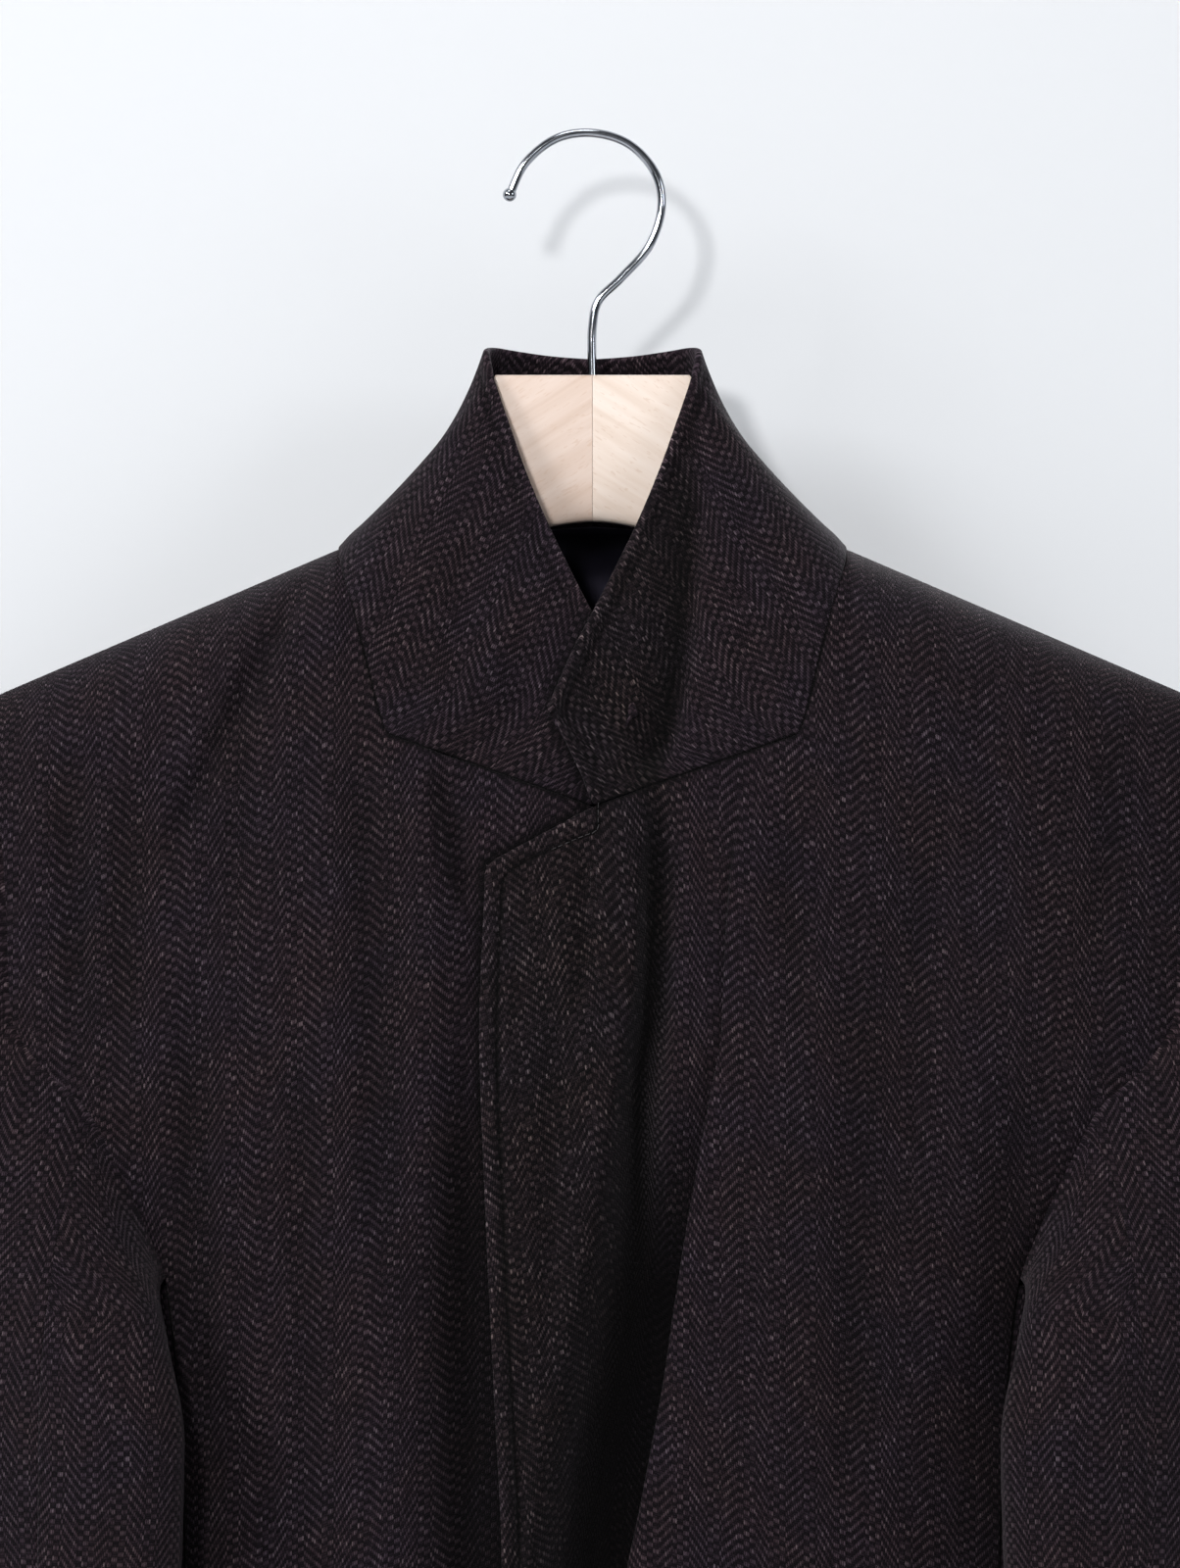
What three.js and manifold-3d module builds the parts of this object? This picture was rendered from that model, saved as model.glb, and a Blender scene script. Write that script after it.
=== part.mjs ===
/**
 * A long-sleeved wool jacket with its notched collar and lapels turned up, the fronts lapped left over right
 * and closed by two rows of paired buttons, hanging on a contoured wooden hanger with a steel hook.
 *
 * Frame, in millimetres: the origin is the inner apex of the hook, where a rail touches it. +Z is up, the
 * fronts face -Y and +X is the wearer's left. Every panel is a wall laid on one body surface, so neighbours
 * share that surface and stand a seam's width apart.
 */
import * as THREE from 'three';
import { mergeVertices } from 'three/addons/utils/BufferGeometryUtils.js';
import Module from 'manifold-3d';

// ---------------------------------------------------------------- driving dimensions
const WALL = 2.2; // wool cloth with its canvas and lining
const COLLAR_WALL = 2.6;
const LINING_WALL = 1.0;
const SEAM = 0.3; // clear width between two sewn pieces
const SEAM_SKEW_LIMIT = 0.3; // sine of the sharpest corner that a drawn-back edge is worked out for

const NECK = { halfWidth: 98, halfDepth: 48, z: -161 };
const SHOULDER_TIP_X = 236;
const SHOULDER_FALL = 0.43; // drop for each millimetre outward
const SHOULDER_ROUND = 42; // height over which the cloth turns from the crest to the chest
const BACK_NECK_DIP = 5;
const ARMHOLE_BASE_Z = -448;
const UNDERARM_DIP = 5;
const HEM_Z = -900;
const SIDE_SEAM_SHARE = 0.856; // of the body's half width, where the front and back meet the side piece
const BODY_SQUARENESS = 2.6; // exponent of the body's rounded section
const CREST_Y = 4;
const CREST_SWEEP = 10; // how far the shoulder crest comes forward at its tip

const NOTCH = { x: 2, z: -262 };
const LAPEL_CORNER = { x: -41, z: -285 };
const LAPEL_CORNER_ROUND = 5;
const GORGE_CORNER = { x: 80, z: -234.5 };

const LAP_GAP = 6.5; // the under front lies this far behind the top one
const LAP_START_X = -66;
const LAP_FULL_X = -45;
const LAP_END = { from: 40, to: 70 }; // where the under front stops following the top one's folds

const FOLD_FADE = 0.3; // share of a fold's length over which it rises, and over which it dies away
const FOLD_SEAM_FADE = 26; // width beside an outer seam over which folds flatten
const FOLD_TURN_START = 0.3; // share of the shoulder's turn from which folds begin

const SLEEVE_RING_Z = -505; // from here down the sleeve is a plain tilted tube
const CUFF_Z = -831;
const SLEEVE_TILT = 30 * Math.PI / 180; // the sleeve's inner edge lies forward
const FOREARM_SEAM = 10; // ring vertex of the front sleeve seam
const HINDARM_SEAM = 22; // ring vertex of the back sleeve seam

const LINING_HALF_WIDTH = 98;
const LINING_END_SHARE = 0.66; // how far down the back it reaches, on the upper rows

const HOOK_WIRE = 3.5;
const HOOK_TIP_BALL = 5.4;
const HANGER_TOP_Z = -93.4;
const HANGER_REST_GAP = 0.7;
const HANGER_SWEEP = { from: 34, to: 100 }; // from the flat block to the arm that follows the shoulder's crest
const HANGER_CROWN_INSET = 10; // the arms' crest rounds across this much tighter than the cloth
const HOOK_BORE = 4.2;
const HOOK_BORE_DEPTH = 32;

const BUTTON = { radius: 10.5, thick: 3.4, dish: 0.9, rim: 2.4, shankRadius: 2.6, shank: 1.1 };
const BUTTON_SEAT_GAP = 0.35;
const BUTTON_ROWS_Z = [-632, -742];
const BUTTON_COLUMNS_X = [-25, 27];

// Body sections: half width, and how far the centre, front and back lie from the hook's plane.
const BODY = [
  { z: -84, half: 262, centre: 4, front: -40, back: 34 },
  { z: -160, half: 262, centre: 4, front: -46, back: 44 },
  { z: -221, half: 262, centre: 4, front: -52, back: 52 },
  { z: -300, half: 262, centre: 6, front: -57, back: 59 },
  { z: -360, half: 260, centre: 9, front: -60, back: 61 },
  { z: -381, half: 250, centre: 11, front: -60.5, back: 61.5 },
  { z: -400, half: 233, centre: 12, front: -61, back: 62 },
  { z: -431, half: 204, centre: 14, front: -61, back: 61 },
  { z: -448, half: 193, centre: 14, front: -60.5, back: 60.5 },
  { z: -520, half: 186, centre: 12, front: -58, back: 57 },
  { z: -600, half: 184, centre: 10, front: -56, back: 55 },
  { z: -700, half: 190, centre: 8, front: -57, back: 58 },
  { z: -800, half: 203, centre: 6, front: -60, back: 63 },
  { z: -900, half: 213, centre: 5, front: -64, back: 67 },
];

// Armhole edges and the lapped front edge, as x at each height.
const ARMHOLE = [
  { z: -221, front: 236, back: 236 },
  { z: -254, front: 231, back: 232 },
  { z: -300, front: 227, back: 228 },
  { z: -343, front: 225, back: 218 },
  { z: -363, front: 213, back: 211 },
  { z: -379, front: 195, back: 203 },
  { z: -398, front: 185, back: 193 },
  { z: -427, front: 172, back: 177 },
  { z: -448, front: 165.2, back: 165.2 },
];
const FRONT_EDGE = [
  { z: -285, x: -41 },
  { z: -347, x: -43 },
  { z: -421, x: -40.5 },
  { z: -496, x: -37 },
  { z: -553, x: -34.5 },
  { z: -632, x: -43 },
  { z: -742, x: -48 },
  { z: -900, x: -52 },
];

// The deep channel that the slack of the lapped fronts falls into.
const CHANNEL = [
  { z: -262, centre: 33, deep: 0, outer: 12, inner: 14 },
  { z: -328, centre: 31, deep: 5, outer: 14, inner: 18 },
  { z: -396, centre: 23, deep: 10, outer: 16, inner: 20 },
  { z: -441, centre: 16, deep: 16, outer: 17, inner: 22 },
  { z: -497, centre: 8, deep: 21, outer: 17, inner: 24 },
  { z: -554, centre: 1, deep: 24, outer: 16, inner: 24 },
  { z: -598, centre: -1, deep: 15, outer: 17, inner: 26 },
  { z: -640, centre: -1, deep: 7, outer: 18, inner: 28 },
  { z: -742, centre: -2, deep: 5, outer: 18, inner: 26 },
  { z: -900, centre: -6, deep: 13, outer: 18, inner: 26 },
];

// Soft troughs: the line each one follows, its depth and its half width.
const LEFT_FRONT_FOLDS = [
  { xTop: 37, zTop: -262, xEnd: 9, zEnd: -450, deep: 5, half: 8 },
  { xTop: 60, zTop: -256, xEnd: 34, zEnd: -520, deep: 6.5, half: 9 },
  { xTop: 46, zTop: -430, xEnd: 47, zEnd: -640, deep: 3, half: 9 },
  { xTop: 108, zTop: -300, xEnd: 100, zEnd: -560, deep: 2.5, half: 15 },
  { xTop: 168, zTop: -330, xEnd: 150, zEnd: -640, deep: 3.5, half: 13 },
  { xTop: 90, zTop: -620, xEnd: 84, zEnd: -960, deep: 7, half: 20 },
  { xTop: 142, zTop: -640, xEnd: 150, zEnd: -980, deep: 6, half: 18 },
];
const RIGHT_FRONT_FOLDS = [
  { xTop: -60, zTop: -244, xEnd: -49, zEnd: -306, deep: 3.5, half: 6 },
  { xTop: -88, zTop: -210, xEnd: -76, zEnd: -480, deep: 3.5, half: 13 },
  { xTop: -118, zTop: -160, xEnd: -176, zEnd: -345, deep: 4, half: 10 },
  { xTop: -154, zTop: -300, xEnd: -150, zEnd: -620, deep: 4, half: 12 },
  { xTop: -200, zTop: -240, xEnd: -196, zEnd: -372, deep: 3.5, half: 10 },
  { xTop: -96, zTop: -600, xEnd: -104, zEnd: -960, deep: 7, half: 19 },
  { xTop: -150, zTop: -660, xEnd: -160, zEnd: -980, deep: 6, half: 17 },
];
const BACK_FOLDS = [
  { xTop: -146, zTop: -215, xEnd: -128, zEnd: -560, deep: 5, half: 15 },
  { xTop: 138, zTop: -225, xEnd: 122, zEnd: -600, deep: 4.5, half: 16 },
  { xTop: -62, zTop: -400, xEnd: -54, zEnd: -980, deep: 6, half: 22 },
  { xTop: 24, zTop: -470, xEnd: 32, zEnd: -980, deep: 7, half: 24 },
  { xTop: 104, zTop: -520, xEnd: 112, zEnd: -980, deep: 6, half: 20 },
  { xTop: -130, zTop: -600, xEnd: -138, zEnd: -980, deep: 5, half: 18 },
];

// The collar's free edge, for each place along its sewn edge, on the wearer's left.
const COLLAR_EDGE = [
  { seam: 'front', seamX: 2, x: -16.5, y: -64, z: -225, hollow: 0 },
  { seam: 'front', seamX: 22, x: -9, y: -56, z: -207, hollow: 0 },
  { seam: 'front', seamX: 42, x: 0, y: -48, z: -189, hollow: 0 },
  { seam: 'front', seamX: 61, x: 9, y: -40, z: -171, hollow: -2 },
  { seam: 'front', seamX: 80, x: 18, y: -31, z: -152, hollow: -5 },
  { seam: 'front', seamX: 86, x: 26, y: -24, z: -133, hollow: -5 },
  { seam: 'front', seamX: 92, x: 33, y: -18, z: -113, hollow: -2 },
  { seam: 'front', seamX: 98, x: 40, y: -11, z: -93, hollow: 4 },
  { seam: 'back', seamX: 90, x: 43, y: 1, z: -84, hollow: 6 },
  { seam: 'back', seamX: 76, x: 39, y: 14, z: -82.5, hollow: 3 },
  { seam: 'back', seamX: 52, x: 29, y: 22, z: -83.5, hollow: -1 },
  { seam: 'back', seamX: 26, x: 15, y: 26, z: -85, hollow: -4 },
  { seam: 'back', seamX: 0, x: 0, y: 27, z: -86, hollow: -5 },
];
const COLLAR_LAP = { fromZ: -130, fullZ: -186, gap: 7 };

// Sleeve stations below the armhole: centre and the two half widths of the tilted tube.
const SLEEVE = [
  { z: -505, x: 226, y: -40, wide: 75, deep: 35 },
  { z: -580, x: 226, y: -42, wide: 72, deep: 34 },
  { z: -650, x: 229, y: -46, wide: 67, deep: 32 },
  { z: -740, x: 235, y: -52, wide: 61, deep: 29 },
  { z: -831, x: 240, y: -62, wide: 56, deep: 26 },
];
const SLEEVE_FOLDS = [
  { z: -478, face: 112, deep: 4, half: 14, spread: 46, slant: 14 },
  { z: -598, face: 165, deep: 5, half: 13, spread: 55, slant: -16 },
  { z: -640, face: 150, deep: 4.5, half: 12, spread: 60, slant: 18 },
  { z: -628, face: 280, deep: 4, half: 14, spread: 50, slant: 12 },
  { z: -765, face: 120, deep: 2.5, half: 16, spread: 60, slant: -10 },
];

// How the sleeve leaves the armhole. Each row is a vertex of the armhole's ring, counted from the shoulder tip
// down the front: where it lands on the sleeve tube, in degrees from the tube's outer edge by way of its front,
// the direction it sets out in, how far that carries, and over what height it comes to hang straight.
const SLEEVE_HEAD = [
  { ring: 0, angle: 0, outX: 1, outY: 0, outZ: -0.3, lead: 44, hang: 170 },
  { ring: 5, angle: 46, outX: 0.95, outY: -0.3, outZ: -0.12, lead: 32, hang: 120 },
  { ring: 9, angle: 95, outX: 0.85, outY: -0.5, outZ: -0.05, lead: 20, hang: 70 },
  { ring: 10, angle: 118, outX: 0.75, outY: -0.65, outZ: -0.05, lead: 18, hang: 50 },
  { ring: 11, angle: 146, outX: 0.55, outY: -0.8, outZ: -0.1, lead: 17, hang: 40 },
  { ring: 12, angle: 180, outX: 0.35, outY: -0.93, outZ: -0.05, lead: 16, hang: 30 },
  { ring: 15, angle: 250, outX: 1, outY: -0.1, outZ: 0.05, lead: 15, hang: 24 },
  { ring: 18, angle: 285, outX: 0.85, outY: 0.5, outZ: 0, lead: 20, hang: 30 },
  { ring: 22, angle: 320, outX: 0.9, outY: 0.4, outZ: -0.1, lead: 30, hang: 80 },
  { ring: 30, angle: 360, outX: 1, outY: 0, outZ: -0.3, lead: 44, hang: 170 },
];

// Hook centreline, and the hanger's crest, foot and half thickness along one arm.
const HOOK_PATH = [
  { x: -32.6, z: -22.5 }, { x: -26.5, z: -10.2 }, { x: -14.2, z: -0.4 }, { x: 0, z: 1.75 },
  { x: 14.2, z: -2.6 }, { x: 24.4, z: -13.6 }, { x: 27.2, z: -26 }, { x: 22.6, z: -42 },
  { x: 11.4, z: -55 }, { x: 2.2, z: -64.4 }, { x: 0, z: -74 }, { x: 0, z: -98 }, { x: 0, z: -125 },
];
const HANGER = [
  { x: 0.15, top: -93.4, foot: -151, half: 6.5 },
  { x: 14, top: -93.4, foot: -152.5, half: 6.5 },
  { x: 34, top: -93.4, foot: -159, half: 6.5 },
  { x: 41, top: -101, foot: -162, half: 6.6 },
  { x: 52, top: -119, foot: -168, half: 7 },
  { x: 66, top: -143, foot: -177, half: 8 },
  { x: 81, top: -159.5, foot: -187, half: 9.5 },
  { x: 98, top: -170, foot: -198, half: 11.5 },
  { x: 112, top: null, foot: -205, half: 15 },
  { x: 130, top: null, foot: -213, half: 16.5 },
  { x: 165, top: null, foot: -229, half: 19 },
  { x: 198, top: null, foot: -243, half: 19.5 },
  { x: 213, top: null, foot: -247, half: 17 },
  { x: 220, top: null, foot: -246, half: 12 },
];

// Where the panels' vertices lie: columns named by their x at the top, rows as shares of two zones.
const FRONT_COLUMNS_X = [
  LAPEL_CORNER.x, -39.5, -36, -24, -11, NOTCH.x, 12, 22, 32, 42, 52, 61, 70, GORGE_CORNER.x, 86, 92, 98,
  112, 128, 146, 164, 182, 200, 216, 228, SHOULDER_TIP_X,
];
const BACK_COLUMNS_X = [0, 26, 52, 76, 90, 98, 118, 138, 160, 182, 204, 222, SHOULDER_TIP_X];
const UPPER_ROWS = [0, 0.045, 0.09, 0.15, 0.22, 0.3, 0.39, 0.48, 0.57, 0.66, 0.77, 0.88, 1];
const LOWER_ROWS = [0.13, 0.26, 0.4, 0.54, 0.68, 0.84, 1];
const COLLAR_ROWS = [0, 0.12, 0.26, 0.42, 0.6, 0.8, 1];
const SIDE_TURNS = [-1, -0.66, -0.33, 0, 0.33, 0.66, 1];
const SLEEVE_UPPER_STEPS = [0, 0.12, 0.26, 0.42, 0.6, 0.8, 1];
const SLEEVE_LOWER_Z = [-545, -585, -620, -650, -685, -730, -780, -831];

const COLORS = { wool: 0x211c20, lining: 0x08080c, beech: 0xddc3a4, steel: 0xc9ccd0, horn: 0x2a1c16 };

// ---------------------------------------------------------------- plain mathematics
const clamp01 = (value) => Math.min(1, Math.max(0, value));
const mix = (a, b, share) => a + (b - a) * share;
const bell = (distance) => Math.exp(-distance * distance);

/** Smooth step between two values, rising or falling. */
function ease(from, to, value) {
  const share = clamp01((value - from) / (to - from));
  return share * share * (3 - 2 * share);
}

/** One column of a table at `at`, through its rows by cubic curves; the rows' key falls. */
function lookUp(table, key, column, at) {
  const last = table.length - 1;
  const falling = table[0][key] > table[last][key];
  const sign = falling ? -1 : 1;
  if (sign * at <= sign * table[0][key]) return table[0][column];
  if (sign * at >= sign * table[last][key]) return table[last][column];
  let row = 0;
  while (sign * table[row + 1][key] < sign * at) row += 1;
  const rise = (a, b) => (table[b][column] - table[a][column]) / (table[b][key] - table[a][key]);
  const slopeAt = (index) => {
    if (index <= 0 || index >= last) return 0;
    const before = rise(index - 1, index);
    const after = rise(index, index + 1);
    return before * after <= 0 ? 0 : 2 * before * after / (before + after);
  };
  const span = table[row + 1][key] - table[row][key];
  const t = (at - table[row][key]) / span;
  const t2 = t * t;
  const t3 = t2 * t;
  return (2 * t3 - 3 * t2 + 1) * table[row][column] + (t3 - 2 * t2 + t) * span * slopeAt(row)
    + (3 * t2 - 2 * t3) * table[row + 1][column] + (t3 - t2) * span * slopeAt(row + 1);
}

// ---------------------------------------------------------------- the body surface
const shoulderZ = (x) => NECK.z - SHOULDER_FALL * (Math.abs(x) - NECK.halfWidth);
const crestY = (x) => CREST_Y - CREST_SWEEP * (x / SHOULDER_TIP_X) ** 2;

/** Depth of the front or back cloth at x and z, before the shoulder turn. */
function sectionY(face, x, z) {
  const centre = lookUp(BODY, 'z', 'centre', z);
  const reach = lookUp(BODY, 'z', face, z) - centre;
  const share = clamp01(Math.abs(x) / lookUp(BODY, 'z', 'half', z));
  return centre + reach * (1 - share ** BODY_SQUARENESS) ** (1 / BODY_SQUARENESS);
}

/** Length along the cloth from the shoulder crest down to a height. */
function clothFromCrest(x, z) {
  const below = Math.max(0, shoulderZ(x) - z);
  if (below >= SHOULDER_ROUND) return SHOULDER_ROUND * Math.PI / 2 + below - SHOULDER_ROUND;
  return SHOULDER_ROUND * Math.acos(1 - below / SHOULDER_ROUND);
}

/** Height, and share of the full depth, a length of cloth below the crest. */
function turnAt(x, cloth) {
  const quarter = SHOULDER_ROUND * Math.PI / 2;
  if (cloth >= quarter) return { z: shoulderZ(x) - SHOULDER_ROUND - (cloth - quarter), share: 1 };
  const angle = cloth / SHOULDER_ROUND;
  return { z: shoulderZ(x) - SHOULDER_ROUND * (1 - Math.cos(angle)), share: Math.sin(angle) };
}

/** How deep a set of troughs presses the cloth in at x and z. */
function foldDepth(folds, x, z) {
  return folds.reduce((total, fold) => {
    const along = (fold.zTop - z) / (fold.zTop - fold.zEnd);
    const fade = ease(0, FOLD_FADE, along) * (1 - ease(1 - FOLD_FADE, 1, along));
    return total + fold.deep * fade * bell((x - mix(fold.xTop, fold.xEnd, along)) / fold.half);
  }, 0);
}

function channelDepth(x, z) {
  const centre = lookUp(CHANNEL, 'z', 'centre', z);
  const half = lookUp(CHANNEL, 'z', x < centre ? 'outer' : 'inner', z);
  return lookUp(CHANNEL, 'z', 'deep', z) * bell((x - centre) / half);
}

const pressIn = {
  frontLeft: (x, z) => channelDepth(x, z) + foldDepth(LEFT_FRONT_FOLDS, x, z),
  frontRight: (x, z) => channelDepth(x, z) + LAP_GAP * ease(LAP_START_X, LAP_FULL_X, x)
    + foldDepth(LEFT_FRONT_FOLDS, x, z) * ease(LAP_START_X, LAP_FULL_X, x) * (1 - ease(LAP_END.from, LAP_END.to, x))
    + foldDepth(RIGHT_FRONT_FOLDS, x, z),
  back: (x, z) => -foldDepth(BACK_FOLDS, x, z),
  side: () => 0,
};

/** A point of a front or of the back, from x and the cloth's length below the crest. */
function bodyPoint(panel, x, cloth) {
  const { z, share } = turnAt(x, cloth);
  const face = panel === 'back' ? 'back' : 'front';
  const seamSide = ease(0, FOLD_SEAM_FADE, seamDistance(panel, x, z));
  const pressed = pressIn[panel](x, z) * ease(FOLD_TURN_START, 1, share) * seamSide;
  return new THREE.Vector3(x, mix(crestY(x), sectionY(face, x, z), share) + pressed, z);
}

/** Distance from the outer edge of a panel, over which its folds fade so that neighbours meet. */
function seamDistance(panel, x, z) {
  return Math.max(0, outerX(panel === 'back' ? 'back' : 'front', z) - Math.abs(x));
}

function outerX(face, z) {
  if (z >= ARMHOLE_BASE_Z) return lookUp(ARMHOLE, 'z', face, z);
  return SIDE_SEAM_SHARE * lookUp(BODY, 'z', 'half', z);
}

/** Height of a front's upper edge: lapel notch, gorge, neck and shoulder, from the centre outward. */
function frontTopZ(x) {
  if (x <= NOTCH.x) {
    const toCorner = 1 - clamp01((x - LAPEL_CORNER.x) / LAPEL_CORNER_ROUND);
    const corner = LAPEL_CORNER_ROUND * (1 - Math.sqrt(1 - toCorner ** 2));
    return mix(LAPEL_CORNER.z, NOTCH.z, (x - LAPEL_CORNER.x) / (NOTCH.x - LAPEL_CORNER.x)) - corner;
  }
  if (x <= GORGE_CORNER.x) {
    return mix(NOTCH.z, GORGE_CORNER.z, (x - NOTCH.x) / (GORGE_CORNER.x - NOTCH.x));
  }
  if (x < NECK.halfWidth) {
    const share = (x - GORGE_CORNER.x) / (NECK.halfWidth - GORGE_CORNER.x);
    return mix(GORGE_CORNER.z, NECK.z, share);
  }
  return shoulderZ(x);
}

/** Height of the back's upper edge: neck, then shoulder. */
function backTopZ(x) {
  const share = Math.abs(x) / NECK.halfWidth;
  return share < 1 ? NECK.z - BACK_NECK_DIP * (1 - share * share) : shoulderZ(x);
}

// ---------------------------------------------------------------- walls from surfaces
/**
 * A closed wall: the outer skin is surface(u, v) at every row and column, the inner one lies `thick` behind it.
 * The surface is also called a little past its edges, so that neighbours on one surface get the same normals.
 * `sewn` names the edges that draw back by half a seam: 'start' and 'end' along u, 'top' along v.
 */
function wall(surface, us, vs, thick, { sewn = [], flip = false } = {}) {
  const step = 1e-3;
  const outer = [];
  const inner = [];
  us.forEach((u, column) => {
    vs.forEach((v, row) => {
      const point = surface(u, v);
      const alongU = surface(u + step, v).sub(surface(u - step, v)).normalize();
      const alongV = surface(u, v + step).sub(surface(u, v - step)).normalize();
      const normal = alongU.clone().cross(alongV);
      const draw = SEAM / 2 / Math.max(SEAM_SKEW_LIMIT, normal.length());
      normal.normalize().multiplyScalar(flip ? -1 : 1);
      if (sewn.includes('start') && column === 0) point.addScaledVector(alongU, draw);
      if (sewn.includes('end') && column === us.length - 1) point.addScaledVector(alongU, -draw);
      if (sewn.includes('top') && row === 0) point.addScaledVector(alongV, draw);
      outer.push(point);
      inner.push(point.clone().addScaledVector(normal, -thick));
    });
  });
  const rows = vs.length;
  const vertices = [...outer, ...inner];
  const back = outer.length;
  const triangles = [];
  const quad = (a, b, c, d) => {
    const order = flip ? [a, c, b, a, d, c] : [a, b, c, a, c, d];
    triangles.push(...order);
  };
  for (let i = 0; i < us.length - 1; i += 1) {
    for (let j = 0; j < rows - 1; j += 1) {
      const a = i * rows + j;
      quad(a, a + rows, a + rows + 1, a + 1);
      quad(back + a, back + a + 1, back + a + rows + 1, back + a + rows);
    }
  }
  for (let i = 0; i < us.length - 1; i += 1) {
    const first = i * rows;
    const last = first + rows - 1;
    quad(first, back + first, back + first + rows, first + rows);
    quad(last + rows, back + last + rows, back + last, last);
  }
  const end = (us.length - 1) * rows;
  for (let j = 0; j < rows - 1; j += 1) {
    quad(j + 1, back + j + 1, back + j, j);
    quad(end + j, back + end + j, back + end + j + 1, end + j + 1);
  }
  return meshGeometry(vertices, triangles);
}

/** A closed solid through rings of equal length, capped at both ends. */
function loft(rings) {
  const count = rings[0].length;
  const vertices = rings.flat();
  const triangles = [];
  for (let r = 0; r < rings.length - 1; r += 1) {
    for (let k = 0; k < count; k += 1) {
      const next = (k + 1) % count;
      const a = r * count + k;
      const b = r * count + next;
      triangles.push(a, b, b + count, a, b + count, a + count);
    }
  }
  for (const [ring, reversed] of [[0, true], [rings.length - 1, false]]) {
    const centre = rings[ring].reduce((sum, p) => sum.add(p), new THREE.Vector3()).divideScalar(count);
    const hub = vertices.push(centre) - 1;
    for (let k = 0; k < count; k += 1) {
      const a = ring * count + k;
      const b = ring * count + (k + 1) % count;
      triangles.push(...(reversed ? [hub, b, a] : [hub, a, b]));
    }
  }
  return meshGeometry(vertices, triangles);
}

function meshGeometry(vertices, triangles) {
  const geometry = new THREE.BufferGeometry();
  const positions = vertices.flatMap((p) => [p.x, p.y, p.z]);
  geometry.setAttribute('position', new THREE.Float32BufferAttribute(positions, 3));
  geometry.setIndex(triangles);
  return geometry;
}

/** The same geometry on the wearer's other side. */
function mirrored(geometry) {
  const copy = geometry.clone().applyMatrix4(new THREE.Matrix4().makeScale(-1, 1, 1));
  const index = Array.from(copy.index.array);
  for (let k = 0; k < index.length; k += 3) [index[k + 1], index[k + 2]] = [index[k + 2], index[k + 1]];
  copy.setIndex(index);
  return copy;
}

// ---------------------------------------------------------------- panels
/** A front's column, given as a share of its width, drifts with the front edge and the armhole. */
const frontX = (share, z) => mix(lookUp(FRONT_EDGE, 'z', 'x', z), outerX('front', z), share);

/** Surface of a panel: u is its share of the width, v counts 0 to 1 down to the armhole base, then to the hem. */
function frontSurface(panel) {
  const side = panel === 'frontLeft' ? 1 : -1;
  return (u, v) => {
    const topX = mix(LAPEL_CORNER.x, SHOULDER_TIP_X, u);
    const top = clothFromCrest(topX, frontTopZ(topX));
    const base = clothFromCrest(topX, ARMHOLE_BASE_Z);
    const hem = clothFromCrest(topX, HEM_Z);
    const cloth = v <= 1 ? mix(top, base, v) : mix(base, hem, v - 1);
    const { z } = turnAt(topX, cloth);
    const x = frontX(u, z);
    return bodyPoint(panel, side * x, clothFromCrest(x, z) + Math.min(0, cloth));
  };
}

function backSurface(u, v) {
  const topX = u * SHOULDER_TIP_X;
  const top = clothFromCrest(topX, backTopZ(topX));
  const base = clothFromCrest(topX, ARMHOLE_BASE_Z);
  const hem = clothFromCrest(topX, HEM_Z);
  const cloth = v <= 1 ? mix(top, base, v) : mix(base, hem, v - 1);
  const { z } = turnAt(topX, cloth);
  const x = u * outerX('back', z);
  return bodyPoint('back', x, clothFromCrest(x, z) + Math.min(0, cloth));
}

/** The side piece turns round the body's section from the front seam to the back one. */
function sidePoint(turn, z) {
  const centre = lookUp(BODY, 'z', 'centre', z);
  const half = lookUp(BODY, 'z', 'half', z);
  const seamAngle = Math.acos(SIDE_SEAM_SHARE ** (BODY_SQUARENESS / 2));
  const angle = turn * seamAngle;
  const reach = lookUp(BODY, 'z', turn < 0 ? 'front' : 'back', z) - centre;
  const power = 2 / BODY_SQUARENESS;
  return new THREE.Vector3(half * Math.cos(angle) ** power, centre + reach * Math.abs(Math.sin(angle)) ** power, z);
}

const underarmZ = (turn) => ARMHOLE_BASE_Z - UNDERARM_DIP * (1 - turn * turn);

const shareOf = (list, from, to) => list.map((x) => (x - from) / (to - from));
const rowShares = [...UPPER_ROWS, ...LOWER_ROWS.map((v) => 1 + v)];

function frontGeometry(panel) {
  const shares = shareOf(FRONT_COLUMNS_X, LAPEL_CORNER.x, SHOULDER_TIP_X);
  const flip = panel === 'frontLeft';
  return wall(frontSurface(panel), shares, rowShares, WALL, { sewn: ['end', 'top'], flip });
}

function backGeometry() {
  const half = shareOf(BACK_COLUMNS_X, 0, SHOULDER_TIP_X);
  const shares = [...half.slice(1).reverse().map((u) => -u), ...half];
  return wall(backSurface, shares, rowShares, WALL, { sewn: ['start', 'end', 'top'] });
}

function sideGeometry() {
  const surface = (turn, v) => sidePoint(turn, mix(underarmZ(turn), HEM_Z, v));
  return wall(surface, SIDE_TURNS, [0, ...LOWER_ROWS], WALL, { sewn: ['start', 'end', 'top'], flip: true });
}

// ---------------------------------------------------------------- collar
const collarRows = COLLAR_EDGE.map((row, at) => ({ ...row, at }));
const COLLAR_LAST = collarRows.length - 1;

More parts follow.
